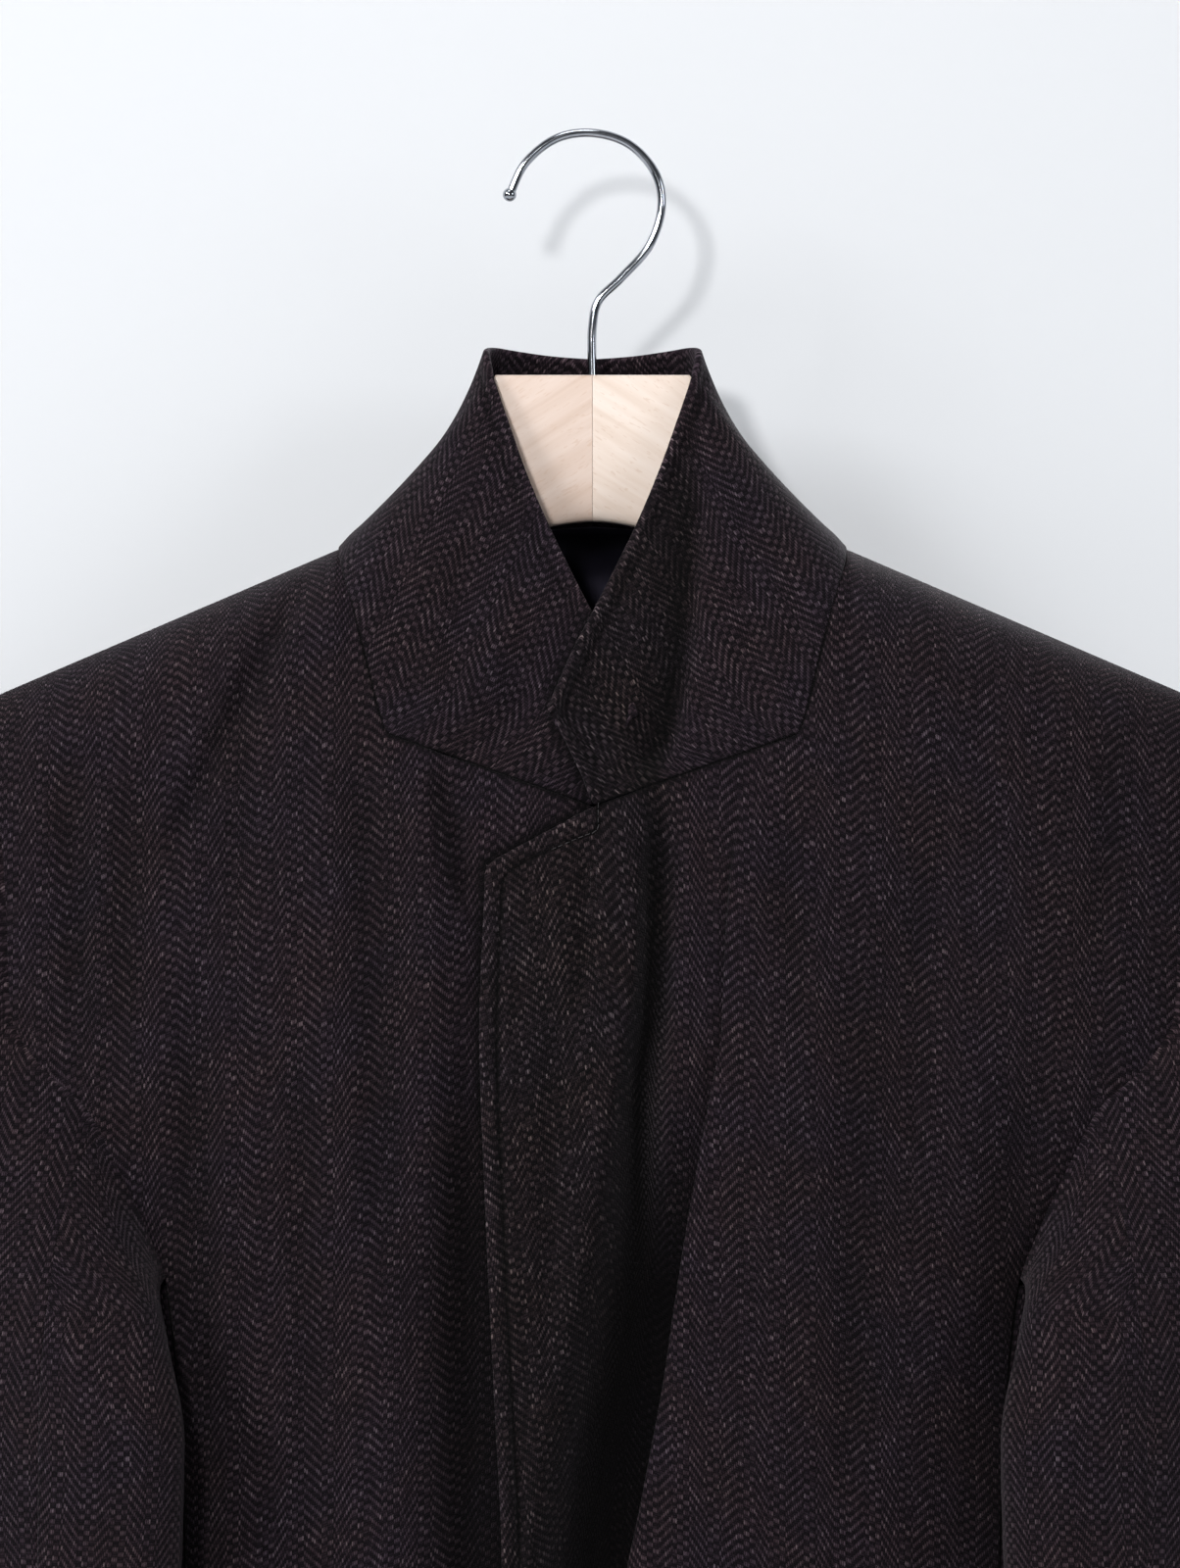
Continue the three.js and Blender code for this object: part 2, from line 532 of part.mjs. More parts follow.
/** A point just above the seam that joins the collar to a front or to the back. */
function collarSeamPoint(at, side) {
  const row = Math.min(COLLAR_LAST - 1, Math.max(0, Math.floor(at)));
  const seamX = mix(collarRows[row].seamX, collarRows[row + 1].seamX, at - row);
  const onBack = collarRows[row + 1].seam === 'back';
  if (onBack) return bodyPoint('back', side * seamX, clothFromCrest(seamX, backTopZ(seamX)));
  const top = frontTopZ(seamX);
  const x = frontX((seamX - LAPEL_CORNER.x) / (SHOULDER_TIP_X - LAPEL_CORNER.x), top);
  return bodyPoint(side > 0 ? 'frontLeft' : 'frontRight', side * x, clothFromCrest(x, top));
}

/** The turned-up collar: u runs from the wearer's left end round the neck to the right, v from seam to edge. */
function collarSurface(u, v) {
  const side = u <= COLLAR_LAST ? 1 : -1;
  const at = side > 0 ? u : 2 * COLLAR_LAST - u;
  const seam = collarSeamPoint(at, side);
  const edge = new THREE.Vector3(
    side * lookUp(collarRows, 'at', 'x', at),
    lookUp(collarRows, 'at', 'y', at),
    lookUp(collarRows, 'at', 'z', at),
  );
  if (side < 0) edge.y += COLLAR_LAP.gap * (1 - ease(COLLAR_LAP.fullZ, COLLAR_LAP.fromZ, edge.z));
  const hollow = lookUp(collarRows, 'at', 'hollow', at) * 4 * v * (1 - v);
  const inward = new THREE.Vector3(-seam.x / NECK.halfWidth, -seam.y / NECK.halfDepth, 0).normalize();
  return seam.lerp(edge, v).addScaledVector(inward, hollow);
}

function collarGeometry() {
  const us = Array.from({ length: 2 * COLLAR_LAST + 1 }, (_, index) => index);
  return wall(collarSurface, us, COLLAR_ROWS, COLLAR_WALL, { sewn: ['top'] });
}

// ---------------------------------------------------------------- sleeves
const armholeRing = [
  ...UPPER_ROWS.map((v) => frontSurface('frontLeft')(1, v)),
  ...SIDE_TURNS.slice(1, -1).map((turn) => sidePoint(turn, underarmZ(turn))),
  ...UPPER_ROWS.slice(1).reverse().map((v) => backSurface(1, v)),
];

function sleeveTubePoint(angle, z) {
  const at = (column) => lookUp(SLEEVE, 'z', column, z);
  const turn = angle * Math.PI / 180;
  const outward = at('wide') * Math.cos(turn);
  const forward = at('deep') * Math.sin(turn);
  const press = SLEEVE_FOLDS.reduce((total, fold) => {
    const around = (angle - fold.face) / fold.spread;
    return total + fold.deep * bell(around) * bell((z - fold.z - fold.slant * around) / fold.half);
  }, 0);
  const keep = 1 - press / Math.hypot(outward, forward);
  const cos = Math.cos(SLEEVE_TILT);
  const sin = Math.sin(SLEEVE_TILT);
  return new THREE.Vector3(
    at('x') + keep * (outward * cos + forward * sin),
    at('y') + keep * (outward * sin - forward * cos),
    z,
  );
}

/** The wearer's left sleeve: u counts armhole vertices, v runs 0 to 1 to the tube and on to 2 at the cuff. */
function sleeveSurface(u, v) {
  const head = (column) => lookUp(SLEEVE_HEAD, 'ring', column, u);
  if (v > 1) return sleeveTubePoint(head('angle'), mix(SLEEVE_RING_Z, CUFF_Z, v - 1));
  const vertex = Math.floor(u);
  const from = armholeRing[vertex % armholeRing.length];
  const to = armholeRing[(vertex + 1) % armholeRing.length];
  const out = new THREE.Vector3(head('outX'), head('outY'), head('outZ'));
  const start = from.clone().lerp(to, u - vertex);
  const end = sleeveTubePoint(head('angle'), SLEEVE_RING_Z);
  const curve = new THREE.CubicBezierCurve3(
    start,
    start.clone().addScaledVector(out, head('lead')),
    end.clone().add(new THREE.Vector3(0, 0, head('hang'))),
    end,
  );
  return v < 0 ? start.addScaledVector(out, v * head('lead')) : curve.getPoint(v);
}

function sleeveGeometry(fromVertex, toVertex) {
  const us = Array.from({ length: toVertex - fromVertex + 1 }, (_, index) => fromVertex + index);
  const lower = SLEEVE_LOWER_Z.map((z) => 1 + (z - SLEEVE_RING_Z) / (CUFF_Z - SLEEVE_RING_Z));
  const surface = (u, v) => sleeveSurface((u + armholeRing.length) % armholeRing.length, v);
  return wall(surface, us, [...SLEEVE_UPPER_STEPS, ...lower], WALL, { sewn: ['start', 'end', 'top'] });
}

// ---------------------------------------------------------------- lining, hanger, hook, buttons
/** The upper back lining that shows through the collar's opening, behind the back panel's inner face. */
function liningGeometry() {
  const outer = (u, v) => {
    const step = 1e-3;
    const normal = backSurface(u + step, v).sub(backSurface(u - step, v))
      .cross(backSurface(u, v + step).sub(backSurface(u, v - step))).normalize();
    return backSurface(u, v).addScaledVector(normal, -(WALL + SEAM));
  };
  const half = BACK_COLUMNS_X.filter((x) => x <= LINING_HALF_WIDTH).map((x) => x / SHOULDER_TIP_X);
  const shares = [...half.slice(1).reverse().map((u) => -u), ...half];
  return wall(outer, shares, UPPER_ROWS.filter((v) => v > 0 && v <= LINING_END_SHARE), LINING_WALL);
}

const solids = await Module();
solids.setup();

function toSolid(geometry) {
  const bare = geometry.clone();
  bare.deleteAttribute('normal');
  bare.deleteAttribute('uv');
  const merged = mergeVertices(bare, 1e-4);
  return new solids.Manifold(new solids.Mesh({
    numProp: 3,
    vertProperties: new Float32Array(merged.attributes.position.array),
    triVerts: new Uint32Array(merged.index.array),
  }));
}

function toGeometry(solid) {
  const mesh = solid.getMesh();
  const geometry = new THREE.BufferGeometry();
  geometry.setAttribute('position', new THREE.Float32BufferAttribute(mesh.vertProperties, 3));
  geometry.setIndex(Array.from(mesh.triVerts));
  return geometry;
}

/** One ring of the hanger's arm: a crest that follows the shoulder's inside, over a rounded foot. */
function hangerRing({ x, top, foot, half }) {
  const crest = top ?? shoulderZ(x) - WALL - HANGER_REST_GAP;
  const centre = top === null ? crestY(x) : mix(0, crestY(x), ease(HANGER_SWEEP.from, HANGER_SWEEP.to, x));
  const under = shoulderZ(x) - SHOULDER_ROUND;
  const crown = [-1, -0.6, -0.25, 0.25, 0.6, 1].map((share) => {
    const across = share * half;
    const cloth = Math.abs(sectionY(across < 0 ? 'front' : 'back', x, under) - crestY(x)) - HANGER_CROWN_INSET;
    const fall = SHOULDER_ROUND * (1 - Math.sqrt(1 - (across / cloth) ** 2));
    return new THREE.Vector3(x, centre + across, crest - fall);
  });
  const edgeZ = crown[0].z;
  const footPoints = [[1, 0.45], [0.86, 0.84], [0.4, 1], [-0.4, 1], [-0.86, 0.84], [-1, 0.45]];
  const rim = footPoints.map(([across, down]) => (
    new THREE.Vector3(x, centre + across * half, mix(edgeZ, foot, down))
  ));
  return [...crown, ...rim].reverse();
}

function hangerGeometry() {
  const arm = toSolid(loft(HANGER.map(hangerRing)));
  const bore = new THREE.CylinderGeometry(HOOK_BORE / 2, HOOK_BORE / 2, 2 * HOOK_BORE_DEPTH, 12);
  bore.rotateX(Math.PI / 2).translate(0, 0, HANGER_TOP_Z);
  return toGeometry(arm.subtract(toSolid(bore)));
}

function hookGeometry() {
  const path = new THREE.CatmullRomCurve3(HOOK_PATH.map(({ x, z }) => new THREE.Vector3(x, 0, z)));
  const section = new THREE.Shape();
  section.absarc(0, 0, HOOK_WIRE / 2, 0, 2 * Math.PI);
  const wire = new THREE.ExtrudeGeometry(section, { extrudePath: path, steps: 46, curveSegments: 4 });
  const tip = new THREE.SphereGeometry(HOOK_TIP_BALL / 2, 12, 8).translate(HOOK_PATH[0].x, 0, HOOK_PATH[0].z);
  return toGeometry(toSolid(wire).add(toSolid(tip)));
}

/** A dished button on a short thread shank, standing on the wearer's left front. */
function buttonGeometry(x, z) {
  const { radius, thick, dish, rim, shankRadius, shank } = BUTTON;
  const profile = [
    [0, 0], [shankRadius, 0], [shankRadius, shank], [radius - 1, shank], [radius, shank + 1],
    [radius, shank + thick - 1], [radius - 1, shank + thick], [radius - rim, shank + thick - dish],
    [0, shank + thick - dish],
  ].map(([r, h]) => new THREE.Vector2(r, h));
  const at = (dx, dz) => bodyPoint('frontLeft', x + dx, clothFromCrest(x + dx, z + dz));
  const normal = at(1, 0).sub(at(-1, 0)).cross(at(0, 1).sub(at(0, -1))).normalize();
  const turn = new THREE.Quaternion().setFromUnitVectors(new THREE.Vector3(0, 1, 0), normal);
  const seat = at(0, 0).addScaledVector(normal, BUTTON_SEAT_GAP);
  return new THREE.LatheGeometry(profile, 16).applyQuaternion(turn).translate(seat.x, seat.y, seat.z);
}

// ---------------------------------------------------------------- the jacket
const group = new THREE.Group();

function add(name, geometry, color, roughness = 0.9, metalness = 0) {
  const mesh = new THREE.Mesh(geometry, new THREE.MeshStandardMaterial({ color, roughness, metalness }));
  mesh.name = name;
  group.add(mesh);
}

const sleeveParts = [
  ['top_sleeve', sleeveGeometry(HINDARM_SEAM - armholeRing.length, FOREARM_SEAM)],
  ['under_sleeve', sleeveGeometry(FOREARM_SEAM, HINDARM_SEAM)],
];
const armGeometry = hangerGeometry();

add('front_left', frontGeometry('frontLeft'), COLORS.wool);
add('front_right', frontGeometry('frontRight'), COLORS.wool);
add('back', backGeometry(), COLORS.wool);
add('side_left', sideGeometry(), COLORS.wool);
add('side_right', mirrored(sideGeometry()), COLORS.wool);
add('collar', collarGeometry(), COLORS.wool);
for (const [name, geometry] of sleeveParts) {
  add(`${name}_left`, geometry, COLORS.wool);
  add(`${name}_right`, mirrored(geometry), COLORS.wool);
}
add('back_lining', liningGeometry(), COLORS.lining, 0.4);
add('hanger_left', armGeometry, COLORS.beech, 0.55);
add('hanger_right', mirrored(armGeometry), COLORS.beech, 0.55);
add('hook', hookGeometry(), COLORS.steel, 0.25, 1);
BUTTON_ROWS_Z.forEach((z, row) => {
  BUTTON_COLUMNS_X.forEach((x, column) => {
    add(`button_${row + 1}_${column + 1}`, buttonGeometry(x, z), COLORS.horn, 0.4);
  });
});

export default group;
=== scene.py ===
import logging
import math
from dataclasses import dataclass
from enum import Enum

import bmesh
import bpy
import numpy as np
from mathutils import Matrix, Vector


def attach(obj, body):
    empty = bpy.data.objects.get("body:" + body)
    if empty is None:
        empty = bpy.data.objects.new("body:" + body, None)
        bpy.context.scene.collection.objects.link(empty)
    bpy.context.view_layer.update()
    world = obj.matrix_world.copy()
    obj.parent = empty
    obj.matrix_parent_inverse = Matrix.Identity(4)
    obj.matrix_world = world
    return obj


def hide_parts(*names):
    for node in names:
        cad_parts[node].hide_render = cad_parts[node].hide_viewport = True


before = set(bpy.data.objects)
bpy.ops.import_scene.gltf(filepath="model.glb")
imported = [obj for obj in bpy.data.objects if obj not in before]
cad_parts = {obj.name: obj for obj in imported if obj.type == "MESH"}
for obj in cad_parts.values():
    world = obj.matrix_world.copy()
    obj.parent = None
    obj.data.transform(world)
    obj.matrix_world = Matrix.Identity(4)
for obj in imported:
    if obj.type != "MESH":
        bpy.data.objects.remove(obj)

Array = np.ndarray
Piece = bpy.types.Object
Material = bpy.types.Material
Node = bpy.types.Node
Socket = bpy.types.NodeSocket
Tree = bpy.types.NodeTree
Colour = tuple[float, float, float]
Place = tuple[float, float, float]
MM = 0.001
FAR = 99.0  # millimetres from a seam, edge or stitch, past which none of it shows
LOG = logging.getLogger("jacket")


class Side(Enum):
    """The wearer's side that a piece is cut for; the value is the sign of its x."""

    LEFT = 1
    RIGHT = -1

    @property
    def word(self) -> str:
        """The side as nodes' names have it."""
        return self.name.lower()


class Rim(Enum):
    """How a panel ends along one of its borders."""

    TURNED = "turned"
    SEWN = "sewn"


# ---------------------------------------------------------------- plain mathematics
def ease(start: float, end: float, value: Array) -> Array:
    """Smooth step from 0 at start to 1 at end."""
    share = np.clip((np.asarray(value, float) - start) / (end - start), 0, 1)
    return share * share * (3 - 2 * share)


def mix(a: Array, b: Array, share: Array) -> Array:
    """Straight blend of a and b."""
    return a + (b - a) * share


def bell(distance: Array) -> Array:
    """A soft hump, 1 in the middle and almost 0 past 2."""
    return np.exp(-np.square(distance))


def unit(vectors: Array) -> Array:
    """The same directions at length 1."""
    return vectors / np.maximum(np.linalg.norm(vectors, axis=-1, keepdims=True), 1e-9)


def spread(start: float, end: float, step: float) -> Array:
    """Even values from start to end, about step apart.

    Args:
        start: first value.
        end: last value.
        step: wanted distance between values.

    Returns:
        The values, both ends among them.
    """
    return np.linspace(start, end, max(2, int(round(abs(end - start) / step)) + 1))


class Profile:
    """A short table whose named columns are read through smooth curves over its first one."""

    def __init__(self, names: str, *rows: tuple[float, ...]) -> None:
        """Stores the rows in rising order of their first column, with a slope for every cell."""
        self.names = names.split()
        grid = np.array(rows, float)
        if grid[0, 0] > grid[-1, 0]:
            grid = grid[::-1]
        self.keys = grid[:, 0]
        self.grid = grid
        rise = np.diff(grid, axis=0) / np.diff(self.keys)[:, None]
        before, after = rise[:-1], rise[1:]
        same_way = before * after > 0
        self.slopes = np.zeros_like(grid)
        self.slopes[1:-1] = np.where(same_way, 2 * before * after / np.where(same_way, before + after, 1), 0)

    def at(self, name: str, key: Array) -> Array:
        """One column's value where the first column has the given key.

        Args:
            name: the column.
            key: where to read it; past either end it keeps the end's value.

        Returns:
            The values, shaped as key is.
        """
        column = self.names.index(name)
        key = np.clip(np.asarray(key, float), self.keys[0], self.keys[-1])
        row = np.clip(np.searchsorted(self.keys, key, side="right") - 1, 0, len(self.keys) - 2)
        span = self.keys[row + 1] - self.keys[row]
        t = (key - self.keys[row]) / span
        a, b = self.grid[row, column], self.grid[row + 1, column]
        slope_a, slope_b = self.slopes[row, column], self.slopes[row + 1, column]
        return (
            (2 * t**3 - 3 * t**2 + 1) * a
            + (t**3 - 2 * t**2 + t) * span * slope_a
            + (3 * t**2 - 2 * t**3) * b
            + (t**3 - t**2) * span * slope_b
        )


@dataclass(frozen=True)
class Fold:
    """A soft trough along a straight line of a panel, in millimetres."""

    x_top: float
    z_top: float
    x_end: float
    z_end: float
    deep: float
    half: float

    def press(self, x: Array, z: Array) -> Array:
        """How far the fold presses the cloth in at x and z."""
        along = (self.z_top - z) / (self.z_top - self.z_end)
        fade = ease(0, 0.3, along) * (1 - ease(0.7, 1, along))
        return self.deep * fade * bell((x - mix(self.x_top, self.x_end, along)) / self.half)


def folds(*rows: tuple[float, ...]) -> tuple[Fold, ...]:
    """Folds from rows of their six numbers."""
    return tuple(Fold(*row) for row in rows)


def pressed(troughs: tuple[Fold, ...], x: Array, z: Array) -> Array:
    """How far several folds together press the cloth in at x and z."""
    return sum((fold.press(x, z) for fold in troughs), np.zeros(np.broadcast(x, z).shape))


def cubic(t: Array, a: Array, b: Array, c: Array, d: Array) -> Array:
    """A Bezier curve from a to d, drawn towards b and c."""
    return (1 - t) ** 3 * a + 3 * (1 - t) ** 2 * t * b + 3 * (1 - t) * t * t * c + t**3 * d


def drift(x: Array, z: Array, size: float, turn: float) -> Array:
    """Slow unevenness of soft cloth, between about -1 and 1.

    Args:
        x: place across the cloth.
        z: place along the cloth.
        size: width of its softest swells, in the same unit.
        turn: shifts the pattern, so that panels differ.

    Returns:
        The unevenness at each place.
    """
    total = np.zeros(np.broadcast(x, z).shape)
    for k, (a, b, weight) in enumerate(
        ((1.0, 0.31, 0.34), (-0.43, 0.77, 0.26), (1.9, -0.66, 0.18), (2.3, 1.57, 0.12), (-3.1, 1.2, 0.1))
    ):
        total += weight * np.sin(2 * math.pi * (a * x + b * z) / size + turn * (k + 1.7) + 2.1 * k)
    return total


# ---------------------------------------------------------------- the body that every panel lies on
LEFT_FRONT_FOLDS = folds(
    (108, -280, 100, -560, 3.5, 12),
    (128, -250, 122, -430, 2.2, 7),
    (76, -255, 80, -360, 2.6, 6),
    (172, -330, 150, -660, 5, 11),
    (196, -372, 166, -520, 5, 8),
    (208, -215, 196, -330, 2.5, 8),
    (90, -620, 84, -960, 7, 20),
    (142, -640, 150, -980, 6, 18),
    (-2, -268, -5, -352, 3.6, 4),
    (-14, -330, -18, -520, 2.6, 4.5),
    (-25, -430, -31, -660, 2.6, 4),
)
RIGHT_FRONT_FOLDS = folds(
    (-60, -244, -47, -306, 5.5, 5),
    (-90, -205, -76, -480, 4.5, 9),
    (-106, -160, -172, -300, 4.5, 6),
    (-130, -185, -140, -330, 2.6, 6),
    (-156, -290, -150, -640, 5, 8),
    (-178, -235, -180, -372, 4, 7),
    (-202, -235, -197, -372, 4.5, 7),
    (-112, -330, -108, -560, 2.4, 8),
    (-96, -600, -104, -960, 7, 19),
    (-150, -660, -160, -980, 6, 17),
)
COLLAR_FOLDS = folds(
    (58, -150, 62, -222, 2.2, 6),
    (74, -140, 80, -205, 1.6, 6),
    (-48, -150, -52, -225, 1.8, 7),
    (-74, -140, -80, -205, 1.6, 6),
    (-26, -185, -30, -240, 1.5, 6),
)
BACK_FOLDS = folds(
    (-146, -215, -128, -560, 5, 15),
    (138, -225, 122, -600, 4.5, 16),
    (-62, -400, -54, -980, 6, 22),
    (24, -470, 32, -980, 7, 24),
    (104, -520, 112, -980, 6, 20),
    (-130, -600, -138, -980, 5, 18),
)


class BodyForm:
    """The surface on which the fronts, back and side pieces lie, in millimetres."""

    wall = 2.2
    neck_half, neck_z = 98.0, -161.0
    shoulder_tip, shoulder_fall, shoulder_round = 236.0, 0.43, 42.0
    back_neck_dip, armhole_z, underarm_dip, hem_z = 5.0, -448.0, 5.0, -900.0
    side_share, squareness = 0.856, 2.6
    notch, lapel_corner, gorge_corner = (2.0, -262.0), (-41.0, -285.0), (80.0, -234.5)
    lap_gap, lap_from, lap_full = 6.5, -66.0, -45.0
    sections = Profile(
        "z half centre front back",
        (-84, 262, 4, -40, 34), (-160, 262, 4, -46, 44), (-221, 262, 4, -52, 52), (-300, 262, 6, -57, 59),
        (-360, 260, 9, -60, 61), (-381, 250, 11, -60.5, 61.5), (-400, 233, 12, -61, 62),
        (-431, 204, 14, -61, 61), (-448, 193, 14, -60.5, 60.5), (-520, 186, 12, -58, 57),
        (-600, 184, 10, -56, 55), (-700, 190, 8, -57, 58), (-800, 203, 6, -60, 63), (-900, 213, 5, -64, 67),
    )
    armhole = Profile(
        "z front back",
        (-221, 236, 236), (-254, 231, 232), (-300, 227, 228), (-343, 225, 218), (-363, 213, 211),
        (-379, 195, 203), (-398, 185, 193), (-427, 172, 177), (-448, 165.2, 165.2),
    )
    front_edge = Profile(
        "z x",
        (-285, -41), (-347, -43), (-421, -40.5), (-496, -37), (-553, -34.5), (-632, -43), (-742, -48),
        (-900, -52),
    )
    plunge = Profile(
        "z near far deep soft rise",
        (-238, 25, 58, 0, 6, 9), (-264, 23, 55, 6, 5, 8), (-288, 21, 52, 11, 5, 8),
        (-318, 20, 51, 14, 5, 6), (-346, 18, 51, 17, 6, 5), (-375, 14, 47, 20, 8, 5),
        (-403, 13, 43, 23, 11, 5), (-431, 12, 38.5, 26, 16, 5), (-454, 8, 35, 29, 18, 5),
        (-485, 3, 30.5, 31, 18, 5), (-504, -1, 27, 32, 18, 5), (-531, -6, 22, 32, 18, 6),
        (-562, -10, 16, 30, 18, 8), (-598, -10, 12, 18, 20, 16), (-640, -12, 12, 8, 22, 24),
        (-742, -12, 10, 6, 22, 26), (-900, -14, 6, 12, 22, 26),
    )

    def shoulder_z(self, x: Array) -> Array:
        """Height of the shoulder's crest."""
        return self.neck_z - self.shoulder_fall * (np.abs(x) - self.neck_half)

    def crest_y(self, x: Array) -> Array:
        """Depth of the shoulder's crest, which sweeps forward towards its tip."""
        return 4 - 10 * np.square(np.asarray(x, float) / self.shoulder_tip)

    def section_y(self, face: str, x: Array, z: Array) -> Array:
        """Depth of the front or back cloth, before the shoulder's turn."""
        centre = self.sections.at("centre", z)
        reach = self.sections.at(face, z) - centre
        share = np.clip(np.abs(x) / self.sections.at("half", z), 0, 1)
        return centre + reach * (1 - share**self.squareness) ** (1 / self.squareness)

    def cloth_from_crest(self, x: Array, z: Array) -> Array:
        """Length along the cloth from the shoulder's crest down to a height."""
        below = np.maximum(0, self.shoulder_z(x) - z)
        turning = self.shoulder_round * np.arccos(1 - np.clip(below / self.shoulder_round, 0, 1))
        straight = self.shoulder_round * (math.pi / 2 - 1) + below
        return np.where(below >= self.shoulder_round, straight, turning)

    def turn_at(self, x: Array, cloth: Array) -> tuple[Array, Array]:
        """Height, and share of the full depth, a length of cloth below the crest."""
        quarter = self.shoulder_round * math.pi / 2
        angle = np.minimum(cloth, quarter) / self.shoulder_round
        z = self.shoulder_z(x) - self.shoulder_round * (1 - np.cos(angle)) - np.maximum(0, cloth - quarter)
        return z, np.sin(angle)

    def outer_x(self, face: str, z: Array) -> Array:
        """Half width of a front or of the back: its armhole, then its side seam."""
        side_seam = self.side_share * self.sections.at("half", z)
        return np.where(np.asarray(z) >= self.armhole_z, self.armhole.at(face, z), side_seam)

    def front_top_z(self, x: Array) -> Array:
        """Height of a front's upper edge: lapel notch, gorge, neck and shoulder."""
        x = np.asarray(x, float)
        (corner_x, corner_z), (notch_x, notch_z) = self.lapel_corner, self.notch
        gorge_x, gorge_z = self.gorge_corner
        lapel = mix(corner_z, notch_z, (x - corner_x) / (notch_x - corner_x))
        gorge = mix(notch_z, gorge_z, (x - notch_x) / (gorge_x - notch_x))
        neck = mix(gorge_z, self.neck_z, (x - gorge_x) / (self.neck_half - gorge_x))
        stretches = [x <= notch_x, x <= gorge_x, x < self.neck_half]
        return np.select(stretches, [lapel, gorge, neck], self.shoulder_z(x))

    def back_top_z(self, x: Array) -> Array:
        """Height of the back's upper edge: neck, then shoulder."""
        share = np.abs(x) / self.neck_half
        neck = self.neck_z - self.back_neck_dip * (1 - share * share)
        return np.where(share < 1, neck, self.shoulder_z(x))

    def press_in(self, panel: str, x: Array, z: Array) -> Array:
        """How far folds, the front's channel and the lap press a panel inwards."""
        if panel == "back":
            return -pressed(BACK_FOLDS, x, z)
        near, far, deep, soft, rise = (self.plunge.at(name, z) for name in self.plunge.names[1:])
        shelf = 1 - 0.75 * ease(near + 3, near + 17, x) * ease(-460, -350, z)
        sunk = ease(near - soft, near + 0.45 * soft, x) * (1 - ease(far - 1, far + rise, x))
        channel = deep * shelf * sunk
        left = pressed(LEFT_FRONT_FOLDS, x, z)
        if panel == "front_left":
            return channel + left
        lapped = ease(self.lap_from, self.lap_full, x)
        follow = lapped * (1 - ease(40, 70, x))
        slump = 13 * ease(-330, -460, z) * ease(-890, -780, z) * ease(-78, -48, x)
        return channel + self.lap_gap * lapped + slump + left * follow + pressed(RIGHT_FRONT_FOLDS, x, z)

    def lean(self, x: Array, z: Array) -> Array:
        """How far the plunge's outer lip leans back over it, towards the middle of the front."""
        far, deep, rise = (self.plunge.at(name, z) for name in ("far", "deep", "rise"))
        reach = (rise + 3.5) * np.clip(deep / 24, 0, 1)
        return reach * ease(far - 1, far + rise, x) * (1 - ease(far + rise + 2, far + rise + 24, x))

    def under_edge(self, x: Array, z: Array) -> Array:
        """How closely the right side's cloth lies under the left side's edge, 1 right below it."""
        collar = ((26, -133), (18, -152), (9, -171), (0, -189), (-9, -207), (-15.5, -220), (-15, -229))
        level = spread(self.lapel_corner[1], self.hem_z, 40)
        outline = np.concatenate([collar, [self.notch], np.stack([self.front_edge.at("x", level), level], axis=-1)])
        return bell(distance_to_path(np.stack(np.broadcast_arrays(x, z), axis=-1), outline) / 3.6)

    def painted_shade(self, panel: str, x: Array, z: Array) -> Array:
        """How much painted shade darkens the cloth, from 0 to 1: deep in the plunge, on the slope into it, along the
        folds and beside the lapped edge.
        """
        near, far, deep, soft, rise = (self.plunge.at(name, z) for name in self.plunge.names[1:])
        inside = ease(near - soft, near + 0.45 * soft, x) * (1 - ease(far + 0.5 * rise, far + 1.1 * rise, x))
        beyond = 0.95 * ease(near + 3, near + 14, x) - 0.6 * bell((x - far - 0.3 * rise) / 3.5)
        shade = np.clip(deep / 22, 0, 1) + 0.4 * ease(-262, -285, z) * ease(-460, -350, z)
        slope = 0.4 * ease(near - 1.9 * soft, near - 0.3 * soft, x) * ease(-330, -430, z)
        slope = slope * (1 - ease(far, far + rise, x))
        fold = np.maximum(inside * (1 - beyond * ease(-460, -350, z)), slope) * np.clip(shade, 0, 1)
        if panel == "front_left":
            return np.maximum(fold, np.clip(pressed(LEFT_FRONT_FOLDS, x, z) / 12, 0, 0.32))
        fold = np.maximum(fold, np.clip(pressed(RIGHT_FRONT_FOLDS, x, z) / 12, 0, 0.32))
        # Painted shadow on the right front beside the left front's edge.
        beside = 0.8 * ease(-330, -430, z) * ease(-66, -47, x) * (1 - ease(-40, -20, x))
        return np.maximum(np.maximum(fold, beside), self.under_edge(x, z))

    def point(self, panel: str, x: Array, cloth: Array) -> Array:
        """Places on a front or on the back, from x and the cloth's length below the crest.

        Args:
            panel: front_left, front_right or back.
            x: where across the body.
            cloth: how far down the cloth.

        Returns:
            The points, with x, y and z in the last axis.
        """
        x, cloth = np.broadcast_arrays(np.asarray(x, float), np.asarray(cloth, float))
        face = "back" if panel == "back" else "front"
        z, share = self.turn_at(x, cloth)
        from_seam = np.maximum(0, self.outer_x(face, z) - np.abs(x))
        push = self.press_in(panel, x, z) * ease(0.3, 1, share) * ease(0, 26, from_seam)
        y = mix(self.crest_y(x), self.section_y(face, x, z), share) + push
        return np.stack([x, y, z], axis=-1)


BODY = BodyForm()


